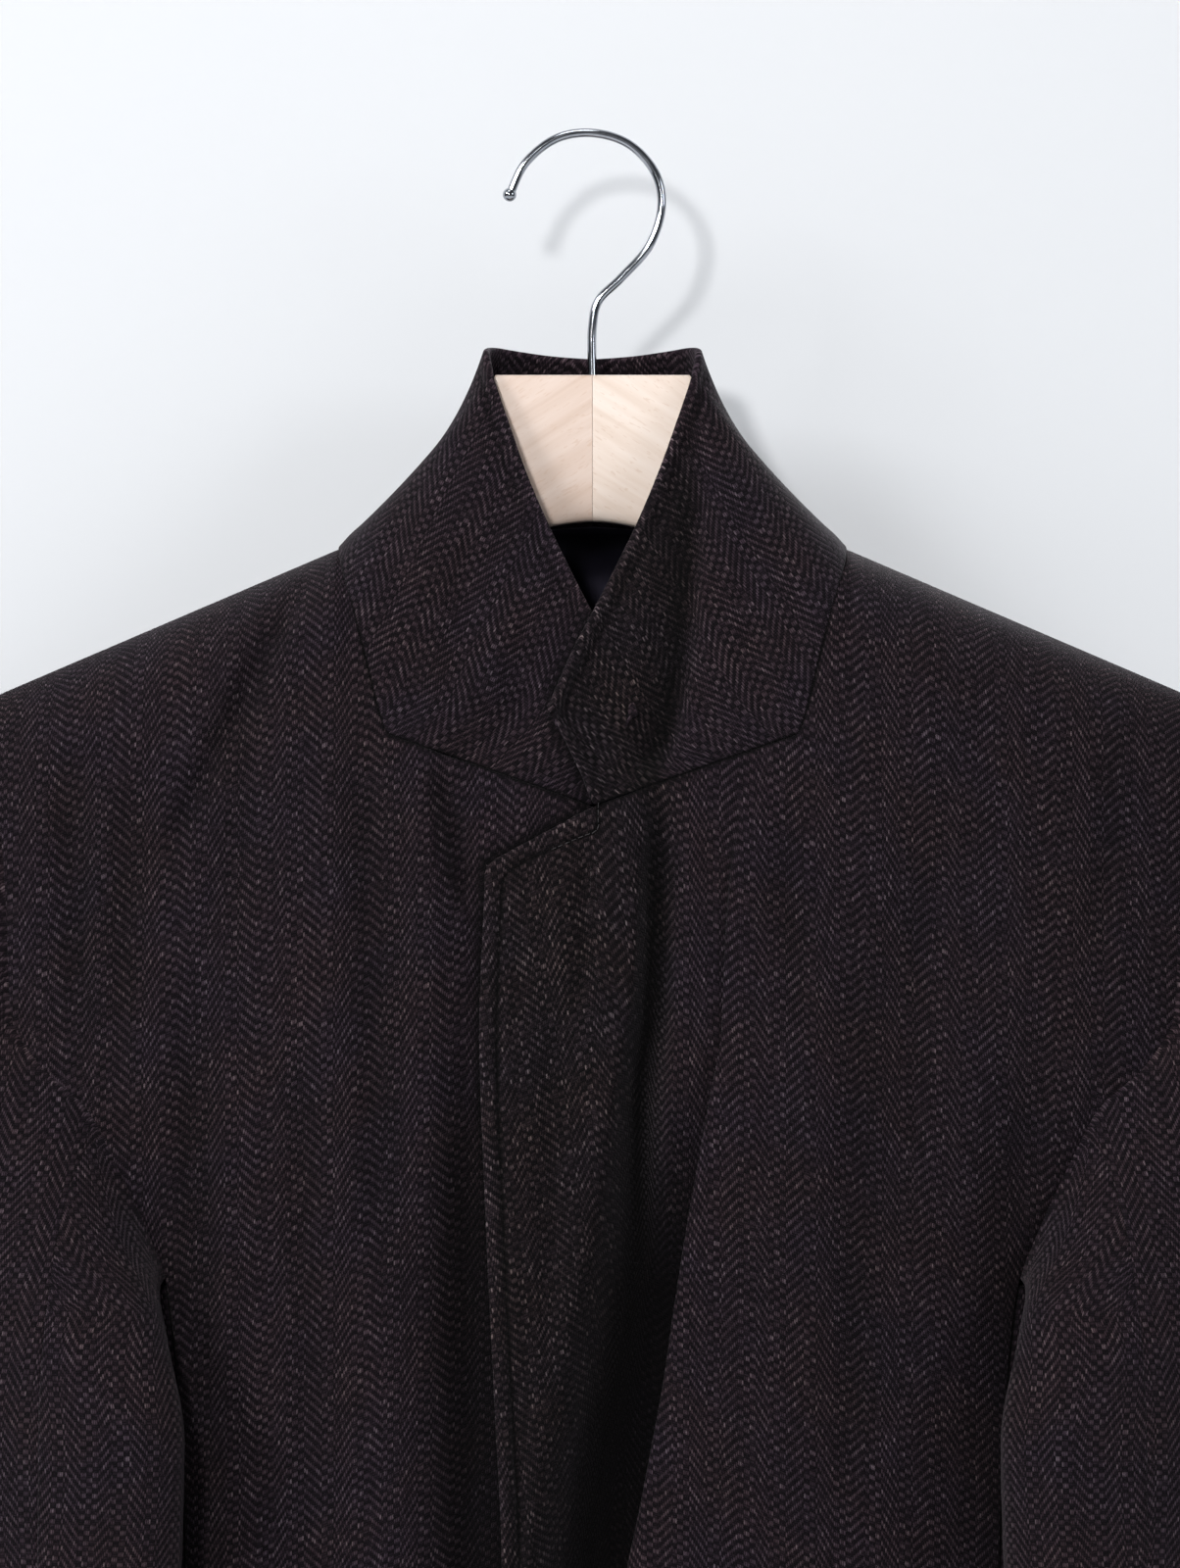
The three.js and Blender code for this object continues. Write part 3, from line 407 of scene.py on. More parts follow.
# ---------------------------------------------------------------- cloth shells
@dataclass
class ClothShell:
    """A closed wall of cloth from a grid of points, with its weave laid out flat.

    The grid's first axis runs across the piece and its second one along it. The weave's map and the distances
    to the nearest turned edge and row of stitches are kept on the mesh for the finish.
    """

    name: str
    grid: Array
    weave: Array
    thick: float
    rims: tuple[Rim, Rim, Array, Rim]
    seam_distance: Array
    edge_distance: Array
    stitch_distance: Array
    flip: bool = False
    seam_round: float = 1.3
    seam_soft: Array | float = 1.0
    turned_out: Array | float = 0.0
    # Painted shade: how far the outer colour is darkened where shade falls, from 0 to 1.
    painted_shade: Array | float = 0.0

    def normals(self) -> Array:
        """Outward directions at the grid's points."""
        across = np.gradient(self.grid, axis=0)
        along = np.gradient(self.grid, axis=1)
        facing = unit(np.cross(across, along))
        return -facing if self.flip else facing

    def cut(self) -> tuple[tuple[float, float], float]:
        """The flat width and length that the piece is cut to, and its flat area, in metres."""
        across, along = np.diff(self.grid, axis=0), np.diff(self.grid, axis=1)
        width = np.linalg.norm(across, axis=-1).sum(axis=0).max() * MM
        length = np.linalg.norm(along, axis=-1).sum(axis=1).max() * MM
        area = np.linalg.norm(np.cross(across[:, :-1], along[:-1]), axis=-1).sum() * MM * MM
        return (round(float(width), 3), round(float(length), 3)), round(float(area), 4)

    def hang(self, piece: Piece, node: str, slot: str, rests_on: tuple[str, ...]) -> Piece:
        """Lets a piece stand for its node and states the sheet of cloth that it was cut as.

        Args:
            piece: the object made from this shell.
            node: the node that it stands for.
            slot: not used.
            rests_on: not used.

        Returns:
            The piece.
        """
        flat, area = self.cut()
        stand_in(piece, node)
        LOG.info("%s: cut %.3f x %.3f m, %.4f square metres", piece.name, *flat, area)
        return piece

    def skins(self) -> tuple[Array, Array, Array]:
        """The outer skin, which rolls in along its seams, the inner skin and the outward directions."""
        normal = self.normals()
        close = np.clip(1 - self.seam_distance / self.seam_round, 0, 1)
        roll = self.seam_round * (1 - np.sqrt(1 - close * close))
        valley = 0.4 * bell(self.seam_distance / 4.5) - 0.22 * bell((self.seam_distance - 7) / 3.5)
        depth = (roll + valley) * self.seam_soft
        outer = self.grid - normal * depth[..., None]
        inner = self.grid - normal * self.thick
        return outer, inner, normal

    def border(self) -> tuple[Array, Array, Array]:
        """The grid's border in order: columns, rows and how much of a rounded rim each place has."""
        columns, rows = self.grid.shape[:2]
        start, end, top, bottom = self.rims
        whole = {Rim.TURNED: 1.0, Rim.SEWN: 0.0}
        path: list[tuple[int, int, float]] = []
        path += [(c, 0, float(top[c])) for c in range(columns - 1)]
        path += [(columns - 1, r, whole[end]) for r in range(rows - 1)]
        path += [(c, rows - 1, whole[bottom]) for c in range(columns - 1, 0, -1)]
        path += [(0, r, whole[start]) for r in range(rows - 1, 0, -1)]
        found = np.array(path)
        return found[:, 0].astype(int), found[:, 1].astype(int), found[:, 2]

    def build(self, outer_finish: Material, inner_finish: Material, facing: Array) -> Piece:
        """Makes the mesh.

        Args:
            outer_finish: the finish of the outer skin and the rims.
            inner_finish: the finish of the inner skin.
            facing: grid of truth values, True where the inner skin has the outer finish.

        Returns:
            The object, linked to the scene.
        """
        columns, rows = self.grid.shape[:2]
        outer, inner, normal = self.skins()
        count = columns * rows
        index = np.arange(count).reshape(columns, rows)
        a, b = index[:-1, :-1], index[1:, :-1]
        c, d = index[1:, 1:], index[:-1, 1:]
        outer_faces = np.stack([a, b, c, d], axis=-1).reshape(-1, 4)
        inner_faces = np.stack([a, d, c, b], axis=-1).reshape(-1, 4) + count
        inside = ~(facing[:-1, :-1].reshape(-1))

        at_column, at_row, turned = self.border()
        edge_outer, edge_inner = outer[at_column, at_row], inner[at_column, at_row]
        middle, half = (edge_outer + edge_inner) / 2, (edge_outer - edge_inner) / 2
        ring = self.grid[at_column, at_row]
        tangent = unit(np.roll(ring, -1, axis=0) - np.roll(ring, 1, axis=0))
        outward = unit(np.cross(tangent, normal[at_column, at_row]))
        inward = self.grid.reshape(-1, 3).mean(axis=0)
        if np.sum(np.einsum("ij,ij->i", outward, ring - inward)) < 0:
            outward = -outward
        reach = np.linalg.norm(half, axis=1) * turned
        rim_points, rim_shift = [], []
        for turn in (30, 62, 90, 118, 150):
            angle = math.radians(turn)
            rim_points.append(middle + half * math.cos(angle) + outward * (reach * math.sin(angle))[:, None])
            rim_shift.append(reach * math.sin(angle))
        around = len(at_column)
        loops = [at_column * rows + at_row]
        loops += [2 * count + k * around + np.arange(around) for k in range(len(rim_points))]
        loops += [count + at_column * rows + at_row]
        rim_faces = []
        for upper, lower in zip(loops[:-1], loops[1:]):
            rim_faces.append(np.stack([upper, lower, np.roll(lower, -1), np.roll(upper, -1)], axis=-1))
        rim = np.concatenate(rim_faces)

        points = np.concatenate([outer.reshape(-1, 3), inner.reshape(-1, 3), *rim_points])
        flat = self.weave.reshape(-1, 2)
        flat_rim = [self.weave[at_column, at_row] + shift[:, None] * 0.7 for shift in rim_shift]
        weave = np.concatenate([flat, flat, *flat_rim])
        faces = np.concatenate([outer_faces, inner_faces, rim])
        if self.flip:
            faces = faces[:, ::-1]
        lined = np.concatenate([np.zeros(len(outer_faces), bool), inside, np.zeros(len(rim), bool)])
        made = mesh_object(self.name, points, faces, weave, (outer_finish, inner_finish), lined)
        edges, border = self.edge_distance, (at_column, at_row)
        seams = self.seam_distance / np.maximum(self.seam_soft, 0.05) + 2 * (1 - self.seam_soft) + 0 * edges
        # The painted shade goes onto the mesh with the other values.
        turned_out, painted_shade = self.turned_out + 0 * edges, self.painted_shade + 0 * edges
        for label, values, inside_values, rim_values in (
            ("edge_mm", edges, edges, 0 * turned),
            ("stitch_mm", self.stitch_distance, FAR, FAR + 0 * turned),
            ("seam_mm", seams, FAR, np.where(turned > 0.5, FAR, seams[border])),
            ("turned_out", turned_out, 0, turned_out[border]),
            ("painted_shade", painted_shade, 0, painted_shade[border]),
        ):
            inside_values = np.broadcast_to(inside_values, values.shape).reshape(-1)
            rim_values = np.tile(rim_values, len(rim_points))
            keep_on_mesh(made, label, np.concatenate([values.reshape(-1), inside_values, rim_values]))
        return made


def mesh_object(
    name: str,
    points: Array,
    faces: Array,
    weave: Array | None,
    finishes: tuple[Material, ...],
    second: Array | None = None,
) -> Piece:
    """A smooth-shaded mesh object at the origin.

    Args:
        name: of the object and its mesh.
        points: in millimetres.
        faces: vertex numbers, four to a face.
        weave: flat place of each vertex in millimetres, or None.
        finishes: the materials, in slot order.
        second: truth value for each face that takes the second finish.

    Returns:
        The object, linked to the scene.
    """
    mesh = bpy.data.meshes.new(name)
    mesh.vertices.add(len(points))
    mesh.vertices.foreach_set("co", (np.asarray(points, np.float32) * MM).reshape(-1))
    faces = np.asarray(faces, np.int32)
    mesh.loops.add(faces.size)
    mesh.loops.foreach_set("vertex_index", faces.reshape(-1))
    mesh.polygons.add(len(faces))
    mesh.polygons.foreach_set("loop_start", np.arange(0, faces.size, faces.shape[1], dtype=np.int32))
    mesh.polygons.foreach_set("use_smooth", np.ones(len(faces), bool))
    for finish in finishes:
        mesh.materials.append(finish)
    if second is not None:
        mesh.polygons.foreach_set("material_index", np.asarray(second, np.int32))
    if weave is not None:
        layer = mesh.uv_layers.new(name="weave")
        layer.data.foreach_set("uv", (np.asarray(weave, np.float32) * MM)[faces.reshape(-1)].reshape(-1))
    mesh.update(calc_edges=True)
    mesh.validate()
    return linked(name, mesh)


def linked(name: str, data: bpy.types.ID) -> Piece:
    """A new object in the scene."""
    made = bpy.data.objects.new(name, data)
    bpy.context.scene.collection.objects.link(made)
    return made


def stand_in(piece: Piece, node: str) -> None:
    """Lets a piece stand for its node: hides the node's part and hangs the piece on the one body."""
    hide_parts(node)
    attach(piece, "root")


def keep_on_mesh(piece: Piece, name: str, values: Array) -> None:
    """Stores one number for each vertex under a name that the finish reads."""
    layer = piece.data.attributes.new(name, "FLOAT", "POINT")
    layer.data.foreach_set("value", np.asarray(values, np.float32))


def distance_to_path(points: Array, path: Array) -> Array:
    """Signed distance in the plane from points to a path of straight pieces.

    Args:
        points: places, with two numbers in the last axis.
        path: the path's corners, one to a row.

    Returns:
        The distance, positive on the path's left side.
    """
    best = np.full(points.shape[:-1], np.inf)
    sign = np.ones(points.shape[:-1])
    for start, end in zip(path[:-1], path[1:]):
        along = end - start
        share = np.clip(((points - start) @ along) / (along @ along), 0, 1)
        gap = points - start - share[..., None] * along
        found = np.linalg.norm(gap, axis=-1)
        closer = found < best
        best = np.where(closer, found, best)
        sign = np.where(closer, np.sign(along[0] * gap[..., 1] - along[1] * gap[..., 0]), sign)
    return best * np.where(sign == 0, 1, sign)


def level_run(points: Array, start: int) -> Array:
    """Length round a hanging piece, measured level, so that its weave hangs straight.

    Args:
        points: the piece's grid, whose second axis runs down or up it.
        start: the column from which the length is counted.

    Returns:
        The length at each point, negative before the start.
    """
    falls = points[0, 0, 2] > points[0, -1, 2]
    ordered = points if falls else points[:, ::-1]
    drop = np.maximum.accumulate(-ordered[..., 2], axis=1) + 1e-4 * np.arange(points.shape[1])
    levels = spread(drop.min(), drop.max(), 3.0)
    columns = range(len(points))
    track = np.array([[np.interp(levels, drop[k], ordered[k, :, axis]) for axis in (0, 1)] for k in columns])
    step = np.linalg.norm(np.diff(track, axis=0), axis=1)
    run = np.concatenate([np.zeros((1, len(levels))), np.cumsum(step, axis=0)])
    run = run - run[start]
    found = np.array([np.interp(drop[k], levels, run[k]) for k in columns])
    return found if falls else found[:, ::-1]


def rounded_corner(a: Array, b: Array, radius: float) -> tuple[Array, Array]:
    """Draws a square corner of a grid in to a round one.

    Args:
        a: distance from one edge.
        b: distance from the other edge.
        radius: of the round corner.

    Returns:
        The new distances.
    """
    p, q = np.clip(1 - a / radius, 0, 1), np.clip(1 - b / radius, 0, 1)
    moved = (p > 0) & (q > 0)
    new_a = np.where(moved, radius * (1 - p * np.sqrt(1 - q * q / 2)), a)
    new_b = np.where(moved, radius * (1 - q * np.sqrt(1 - p * p / 2)), b)
    return new_a, new_b


# ---------------------------------------------------------------- shader building
Value = float | tuple[float, ...] | Socket


class Loom:
    """Adds nodes to one tree and joins them as it goes."""

    def __init__(self, tree: Tree) -> None:
        """Works on the given tree."""
        self.tree = tree

    def node(self, kind: str, values: dict[str | int, Value] | None = None, **settings: object) -> Node:
        """Adds a node.

        Args:
            kind: its type.
            values: what its sockets take, by their names or numbers.
            settings: its plain settings.

        Returns:
            The node.
        """
        made = self.tree.nodes.new(kind)
        for name, value in settings.items():
            setattr(made, name, value)
        return self.feeds(made, values or {})

    def feeds(self, node: Node, values: dict[str | int, Value]) -> Node:
        """Links a node's sockets to others, or sets their own values."""
        for name, value in values.items():
            if isinstance(value, Socket):
                self.tree.links.new(value, node.inputs[name])
            else:
                node.inputs[name].default_value = value
        return node

    def math(self, operation: str, *values: Value) -> Socket:
        """A number worked out from others."""
        return self.node("ShaderNodeMath", dict(enumerate(values)), operation=operation).outputs[0]

    def times(self, *values: Value) -> Socket:
        """The product of two numbers."""
        return self.math("MULTIPLY", *values)

    def scaled(self, value: Value, scale: Value, base: Value) -> Socket:
        """A number times a scale, plus a base."""
        return self.math("MULTIPLY_ADD", value, scale, base)

    def vector(self, operation: str, *values: Value) -> Socket:
        """A vector worked out from others."""
        return self.node("ShaderNodeVectorMath", dict(enumerate(values)), operation=operation).outputs[0]

    def combine(self, *values: Value) -> Socket:
        """A vector of three numbers."""
        return self.node("ShaderNodeCombineXYZ", dict(enumerate(values))).outputs[0]

    def split(self, value: Value) -> tuple[Socket, ...]:
        """The three numbers of a vector."""
        return tuple(self.node("ShaderNodeSeparateXYZ", {0: value}).outputs)

    def blend(self, share: Value, a: Value, b: Value, how: str = "MIX") -> Socket:
        """A colour between two others."""
        values = {0: share, 6: a, 7: b}
        return self.node("ShaderNodeMix", values, data_type="RGBA", blend_type=how).outputs[2]

    def ramp(self, share: Value, *stops: tuple[float, Colour]) -> Socket:
        """A colour read from stops."""
        made = self.node("ShaderNodeValToRGB", {0: share})
        bar = made.color_ramp
        for k, (place, colour) in enumerate(stops):
            stop = bar.elements[k] if k < 2 else bar.elements.new(place)
            stop.position = place
            stop.color = (*colour, 1)
        return made.outputs[0]

    def noise(self, place: Value, scale: float, detail: float = 2, rough: float = 0.5, bend: float = 0) -> Socket:
        """Soft noise between 0 and 1."""
        values = {"Vector": place, "Scale": scale, "Detail": detail, "Roughness": rough, "Distortion": bend}
        return self.node("ShaderNodeTexNoise", values, noise_dimensions="3D").outputs[0]

    def choose(self, share: Value, a: Value, b: Value) -> Socket:
        """A number between two others."""
        return self.node("ShaderNodeMix", {0: share, 2: a, 3: b}, data_type="FLOAT").outputs[0]

    def soft_line(self, distance: Value, half: float) -> Socket:
        """1 on a line and almost 0 past twice its half width."""
        share = self.math("DIVIDE", distance, half)
        return self.math("EXPONENT", self.times(self.times(share, share), -1.0))

    def bump(self, height: Value, depth: float, strength: float = 1.0) -> Socket:
        """A surface direction raised by a height."""
        values = {"Strength": strength, "Distance": depth, "Height": height}
        return self.node("ShaderNodeBump", values).outputs[0]

    def stored(self, name: str) -> Socket:
        """A number that is kept on the mesh under a name."""
        return self.node("ShaderNodeAttribute", attribute_name=name, attribute_type="GEOMETRY").outputs["Fac"]

    def weave(self) -> Socket:
        """Places on the piece's weave map."""
        return self.node("ShaderNodeUVMap", uv_map="weave").outputs[0]

    def solid(self) -> Socket:
        """Places in the object's own coordinates."""
        return self.node("ShaderNodeTexCoord").outputs["Object"]


def shader_group(
    name: str, inputs: tuple[tuple[str, str, Value], ...], outputs: tuple[str, ...]
) -> tuple[Tree, Loom, Node, Node]:
    """An empty node group with named inputs and outputs.

    Args:
        name: of the group.
        inputs: name, socket type and default of each input.
        outputs: name of each output, which is a number.

    Returns:
        The tree, a loom on it, and its input and output nodes.
    """
    tree = bpy.data.node_groups.new(name, "ShaderNodeTree")
    for label, kind, default in inputs:
        socket = tree.interface.new_socket(label, in_out="INPUT", socket_type=kind)
        socket.default_value = default
    for label in outputs:
        tree.interface.new_socket(label, in_out="OUTPUT", socket_type="NodeSocketFloat")
    loom = Loom(tree)
    return tree, loom, loom.node("NodeGroupInput"), loom.node("NodeGroupOutput")


def twill_group() -> Tree:
    """Fancy herringbone: stripes of two-and-two twill of either slant, with stripes of small blocks between them."""
    tree, loom, given, result = shader_group(
        "herringbone_twill",
        (
            ("Cloth", "NodeSocketVector", (0, 0, 0)),
            ("Warp Pitch", "NodeSocketFloat", 0.00077),
            ("Weft Pitch", "NodeSocketFloat", 0.00099),
            ("Stripe", "NodeSocketFloat", 8.0),
        ),
        ("Height", "Tone", "Warp", "Streak"),
    )
    cloth, warp_pitch, weft_pitch, stripe_threads = (given.outputs[k] for k in range(4))
    wander = loom.scaled(loom.noise(cloth, 60, 1), 0.7, -0.35)
    u, v, _ = loom.split(cloth)
    x = loom.math("ADD", loom.math("DIVIDE", u, warp_pitch), wander)
    y = loom.math("ADD", loom.math("DIVIDE", v, weft_pitch), wander)
    warp, weft = loom.math("FLOOR", x), loom.math("FLOOR", y)
    across, along = loom.math("FRACT", x), loom.math("FRACT", y)
    stripe_number = loom.math("FLOOR", loom.math("DIVIDE", warp, stripe_threads))
    stripe = loom.math("FLOORED_MODULO", stripe_number, 4.0)
    blocks = loom.math("FLOORED_MODULO", stripe, 2.0)
    slant = loom.math("SUBTRACT", stripe, 1.0)
    triple = loom.math("FLOOR", loom.math("DIVIDE", warp, 3.0))
    shift = loom.choose(blocks, loom.times(slant, warp), loom.times(triple, 2.0))
    diagonal = loom.math("ADD", shift, weft)
    step = loom.math("FLOORED_MODULO", diagonal, 4.0)
    warp_up = loom.math("LESS_THAN", step, 1.5)
    float_number = loom.math("FLOOR", loom.math("DIVIDE", diagonal, 4.0))

    def hump(place: Value, power: float) -> Socket:
        """A rounded rise over 0 to 1, steeper at its ends for a higher power."""
        centred = loom.math("ABSOLUTE", loom.scaled(place, 2.0, -1.0))
        return loom.math("SUBTRACT", 1.0, loom.math("POWER", centred, power))

    warp_along = loom.times(loom.math("ADD", step, along), 0.5)
    turned = loom.scaled(loom.math("SUBTRACT", across, 0.5), slant, 0.5)
    twill_along = loom.times(loom.math("ADD", loom.math("SUBTRACT", step, 2.0), turned), 0.5)
    block_along = loom.math("FRACT", loom.math("DIVIDE", x, 3.0))
    warp_height = loom.times(hump(across, 1.5), hump(warp_along, 1.7))
    weft_height = loom.times(hump(along, 1.6), hump(loom.choose(blocks, twill_along, block_along), 2.2))
    lane = loom.choose(warp_up, weft, warp)
    label = loom.scaled(warp_up, 31.0, loom.times(stripe, 7.0))
    one_float = {"Vector": loom.combine(lane, float_number, label)}
    random = loom.node("ShaderNodeTexWhiteNoise", one_float, noise_dimensions="3D")
    stretched = loom.combine(loom.times(lane, 3.7), loom.times(float_number, 0.16), label)
    streak = loom.noise(stretched, 1.0, 2)
    height = loom.choose(warp_up, loom.times(weft_height, 0.7), warp_height)
    loom.feeds(result, {"Height": height, "Tone": random.outputs["Value"], "Warp": warp_up, "Streak": streak})
    return tree


def new_material(name: str) -> tuple[Material, Loom, Node]:
    """A material with a Principled BSDF already joined to its output."""
    material = bpy.data.materials.new(name)
    material.use_nodes = True
    loom = Loom(material.node_tree)
    shader = material.node_tree.nodes["Principled BSDF"]
    return material, loom, shader


# ---------------------------------------------------------------- finishes
@dataclass(frozen=True)
class WoolFinish:
    """Napped herringbone wool: a near-black weft under a paler, brown-grey warp."""

    name: str = "herringbone_wool"
    warp_pitch: float = 0.00077
    weft_pitch: float = 0.00099
    stripe: float = 8.0
    sheen: float = 0.05

    def material(self, twill: Tree) -> Material:
        """Builds the material on the piece's weave map."""
        material, loom, shader = new_material(self.name)
        cloth = loom.weave()
        sizes = {"Cloth": cloth, "Warp Pitch": self.warp_pitch, "Weft Pitch": self.weft_pitch, "Stripe": self.stripe}
        weave = loom.node("ShaderNodeGroup", sizes, node_tree=twill)
        tone, height = weave.outputs["Tone"], weave.outputs["Height"]
        pale = loom.ramp(
            tone,
            (0.0, (0.0170, 0.0118, 0.0148)),
            (0.45, (0.0290, 0.0208, 0.0250)),
            (0.80, (0.0410, 0.0305, 0.0352)),
            (0.93, (0.0530, 0.0410, 0.0455)),
            (1.0, (0.0860, 0.0700, 0.0730)),
        )
        dark = loom.ramp(
            tone,
            (0.0, (0.0042, 0.0027, 0.0042)),
            (0.7, (0.0086, 0.0058, 0.0082)),
            (1.0, (0.0150, 0.0105, 0.0135)),
        )
        yarn = loom.blend(weave.outputs["Warp"], dark, pale)
        patch = loom.noise(cloth, 30, 3)
        uneven = loom.ramp(patch, (0.36, (0.82, 0.76, 0.91)), (0.64, (0.93, 0.80, 0.83)))
        tinted = loom.blend(1.0, yarn, uneven, "MULTIPLY")
        fibre = loom.noise(cloth, 3200, 2)
        # Darker where the threads dip: painted shade between the threads.
        strength = loom.scaled(height, 1.15, 0.27)
        mottles = (weave.outputs["Streak"], 1.1, 0.45), (fibre, 1.1, 0.45), (loom.noise(cloth, 420, 2), 0.6, 0.7)
        for mottle in mottles:
            strength = loom.times(strength, loom.scaled(*mottle))
        # Paler along the turned edges: partly wear, partly a painted highlight on the edges.
        worn = loom.times(loom.soft_line(loom.stored("edge_mm"), 1.9), 0.6)
        sunk = loom.times(loom.soft_line(loom.stored("seam_mm"), 0.95), -0.95)
        drawn = loom.times(loom.soft_line(loom.stored("stitch_mm"), 0.95), -0.8)
        sunk = loom.math("ADD", sunk, drawn)
        strength = loom.times(strength, loom.math("ADD", 1.0, loom.math("ADD", worn, sunk)))
        flecked = loom.scaled(loom.math("POWER", tone, 3.0), 0.75, 0.78)
        strength = loom.times(strength, loom.choose(loom.stored("turned_out"), 1.0, flecked))
        colour = loom.vector("MULTIPLY", tinted, loom.combine(strength, strength, strength))
        # The turned-out lapel strip and the collar's lapped end are tinted darker and greyer.
        turned_tint = loom.blend(loom.stored("turned_out"), (1.0, 1.0, 1.0, 1), (0.74, 0.78, 0.69, 1))
        # Painted shade: the colour is darkened down to about a seventh where the mesh's painted shade is full.
        painted_shade_tint = loom.blend(loom.stored("painted_shade"), (1.0, 1.0, 1.0, 1), (0.13, 0.14, 0.14, 1))
        colour = loom.vector("MULTIPLY", loom.vector("MULTIPLY", colour, turned_tint), painted_shade_tint)
        groove = loom.soft_line(loom.stored("stitch_mm"), 0.75)
        nap = loom.noise(cloth, 900, 3, 0.6)
        relief = loom.math("ADD", loom.times(height, 0.26), loom.times(nap, 0.24))
        relief = loom.math("SUBTRACT", relief, loom.times(groove, 0.8))
        look = {"Base Color": colour, "Roughness": 0.95, "Specular IOR Level": 0.12, "Sheen Weight": self.sheen}
        look |= {"Sheen Roughness": 0.4, "Sheen Tint": (0.82, 0.74, 0.82, 1), "Normal": loom.bump(relief, 0.001, 0.8)}
        loom.feeds(shader, look)
        return material


@dataclass(frozen=True)
class LiningFinish:
    """Near-black satin with a cool gloss along its threads."""

    name: str = "satin_lining"

    def material(self) -> Material:
        """Builds the material on the piece's weave map."""
        material, loom, shader = new_material(self.name)
        cloth = loom.weave()
        threads = loom.noise(loom.vector("MULTIPLY", cloth, (2600.0, 190.0, 1.0)), 1.0, 2)
        slow = loom.noise(cloth, 26, 2)
        colour = loom.ramp(slow, (0.3, (0.0010, 0.0010, 0.0018)), (0.7, (0.0022, 0.0020, 0.0036)))
        look = {"Base Color": colour, "Roughness": loom.scaled(threads, 0.2, 0.30)}
        look |= {"Specular IOR Level": 0.5, "Specular Tint": (0.72, 0.66, 1.0, 1)}
        look |= {"Sheen Weight": 0.05, "Sheen Tint": (0.6, 0.5, 0.9, 1), "Normal": loom.bump(threads, 0.00008, 0.6)}
        loom.feeds(shader, look)
        return material


@dataclass(frozen=True)
class BeechFinish:
    """Clear-lacquered beech: pale ground, fine grain and short dark flecks."""

    name: str
    slant: float
    # Painted shade: a factor on the ground colour, so that one half is a darker copy of the same beech.
    shade: Colour = (1.0, 1.0, 1.0)

    def material(self) -> Material:
        """Builds the material on the object's own coordinates."""
        material, loom, shader = new_material(self.name)
        turn = {"Vector": loom.solid(), "Rotation": (0, self.slant, 0)}
        turned = loom.node("ShaderNodeMapping", turn, vector_type="POINT").outputs[0]
        grain_place = loom.vector("MULTIPLY", turned, (7.0, 60.0, 95.0))
        bands = loom.noise(grain_place, 1.6, 3, 0.55, 0.5)
        fine = loom.noise(grain_place, 9.0, 3, 0.6)
        fleck = loom.noise(loom.vector("MULTIPLY", turned, (240.0, 900.0, 1300.0)), 1.0, 1)
        tones = (0.30, (0.655, 0.53, 0.445)), (0.50, (0.73, 0.62, 0.545)), (0.72, (0.785, 0.695, 0.63))
        ground = loom.ramp(bands, *((at, tuple(np.multiply(self.shade, tone))) for at, tone in tones))
        darker = loom.blend(loom.times(fine, 0.25), ground, (0.60, 0.42, 0.30, 1))
        flecks = loom.times(loom.math("GREATER_THAN", fleck, 0.66), 0.28)
        look = {"Base Color": loom.blend(flecks, darker, (0.50, 0.31, 0.20, 1))}
        look |= {"Roughness": loom.scaled(fine, 0.16, 0.34), "Coat Weight": 0.25, "Coat Roughness": 0.22}
        look |= {"Normal": loom.bump(fine, 0.0001, 0.35)}
        loom.feeds(shader, look)
        return material


@dataclass(frozen=True)
class SteelFinish:
    """Bright plated wire with faint drawing marks."""

    name: str = "plated_steel"

    def material(self) -> Material:
        """Builds the material on the object's own coordinates."""
        material, loom, shader = new_material(self.name)
        place = loom.solid()
        slow = loom.noise(place, 90, 3)
        colour = loom.ramp(slow, (0.3, (0.30, 0.32, 0.35)), (0.7, (0.46, 0.48, 0.52)))
        look = {"Base Color": colour, "Metallic": 1.0, "Roughness": loom.scaled(slow, 0.14, 0.06)}
        loom.feeds(shader, look | {"Normal": loom.bump(loom.noise(place, 1500, 2), 0.00002, 0.3)})
        return material


@dataclass(frozen=True)
class HornFinish:
    """Dark polished horn with brown streaks."""

    name: str = "horn"

    def material(self) -> Material:
        """Builds the material on the object's own coordinates."""
        material, loom, shader = new_material(self.name)
        place = loom.vector("MULTIPLY", loom.solid(), (1.0, 1.0, 0.28))
        streaks = loom.noise(place, 260, 4, 0.6, 1.4)
        tones = (0.35, (0.010, 0.005, 0.003)), (0.55, (0.036, 0.018, 0.010)), (0.75, (0.12, 0.07, 0.04))
        look = {"Base Color": loom.ramp(streaks, *tones), "Roughness": loom.scaled(streaks, 0.15, 0.24)}
        loom.feeds(shader, look | {"Normal": loom.bump(streaks, 0.00008, 0.4)})
        return material


@dataclass(frozen=True)
class ThreadFinish:
    """Twisted sewing thread, dark as the cloth."""

    name: str = "sewing_thread"

    def material(self) -> Material:
        """Builds the material on the object's own coordinates."""
        material, loom, shader = new_material(self.name)
        twist = loom.noise(loom.solid(), 5200, 2)
        colour = loom.ramp(twist, (0.3, (0.008, 0.006, 0.007)), (0.7, (0.022, 0.017, 0.020)))
        loom.feeds(shader, {"Base Color": colour, "Roughness": 0.7, "Normal": loom.bump(twist, 0.0001, 0.7)})
        return material


@dataclass
class Wardrobe:
    """Every finish that the jacket and its hanger use, built once."""

    wool: Material
    lining: Material
    beech_left: Material
    beech_right: Material
    steel: Material
    horn: Material
    thread: Material

    @classmethod
    def made(cls) -> "Wardrobe":
        """Builds the finishes."""
        slant = math.radians(32)
        return cls(
            wool=WoolFinish().material(twill_group()),
            lining=LiningFinish().material(),
            beech_left=BeechFinish("beech_left", -slant).material(),
            # Painted shade: the wearer's right half is a darker, pinker copy of the same beech.
            beech_right=BeechFinish("beech_right", slant, (0.86, 0.80, 0.78)).material(),
            steel=SteelFinish().material(),
            horn=HornFinish().material(),
            thread=ThreadFinish().material(),
        )


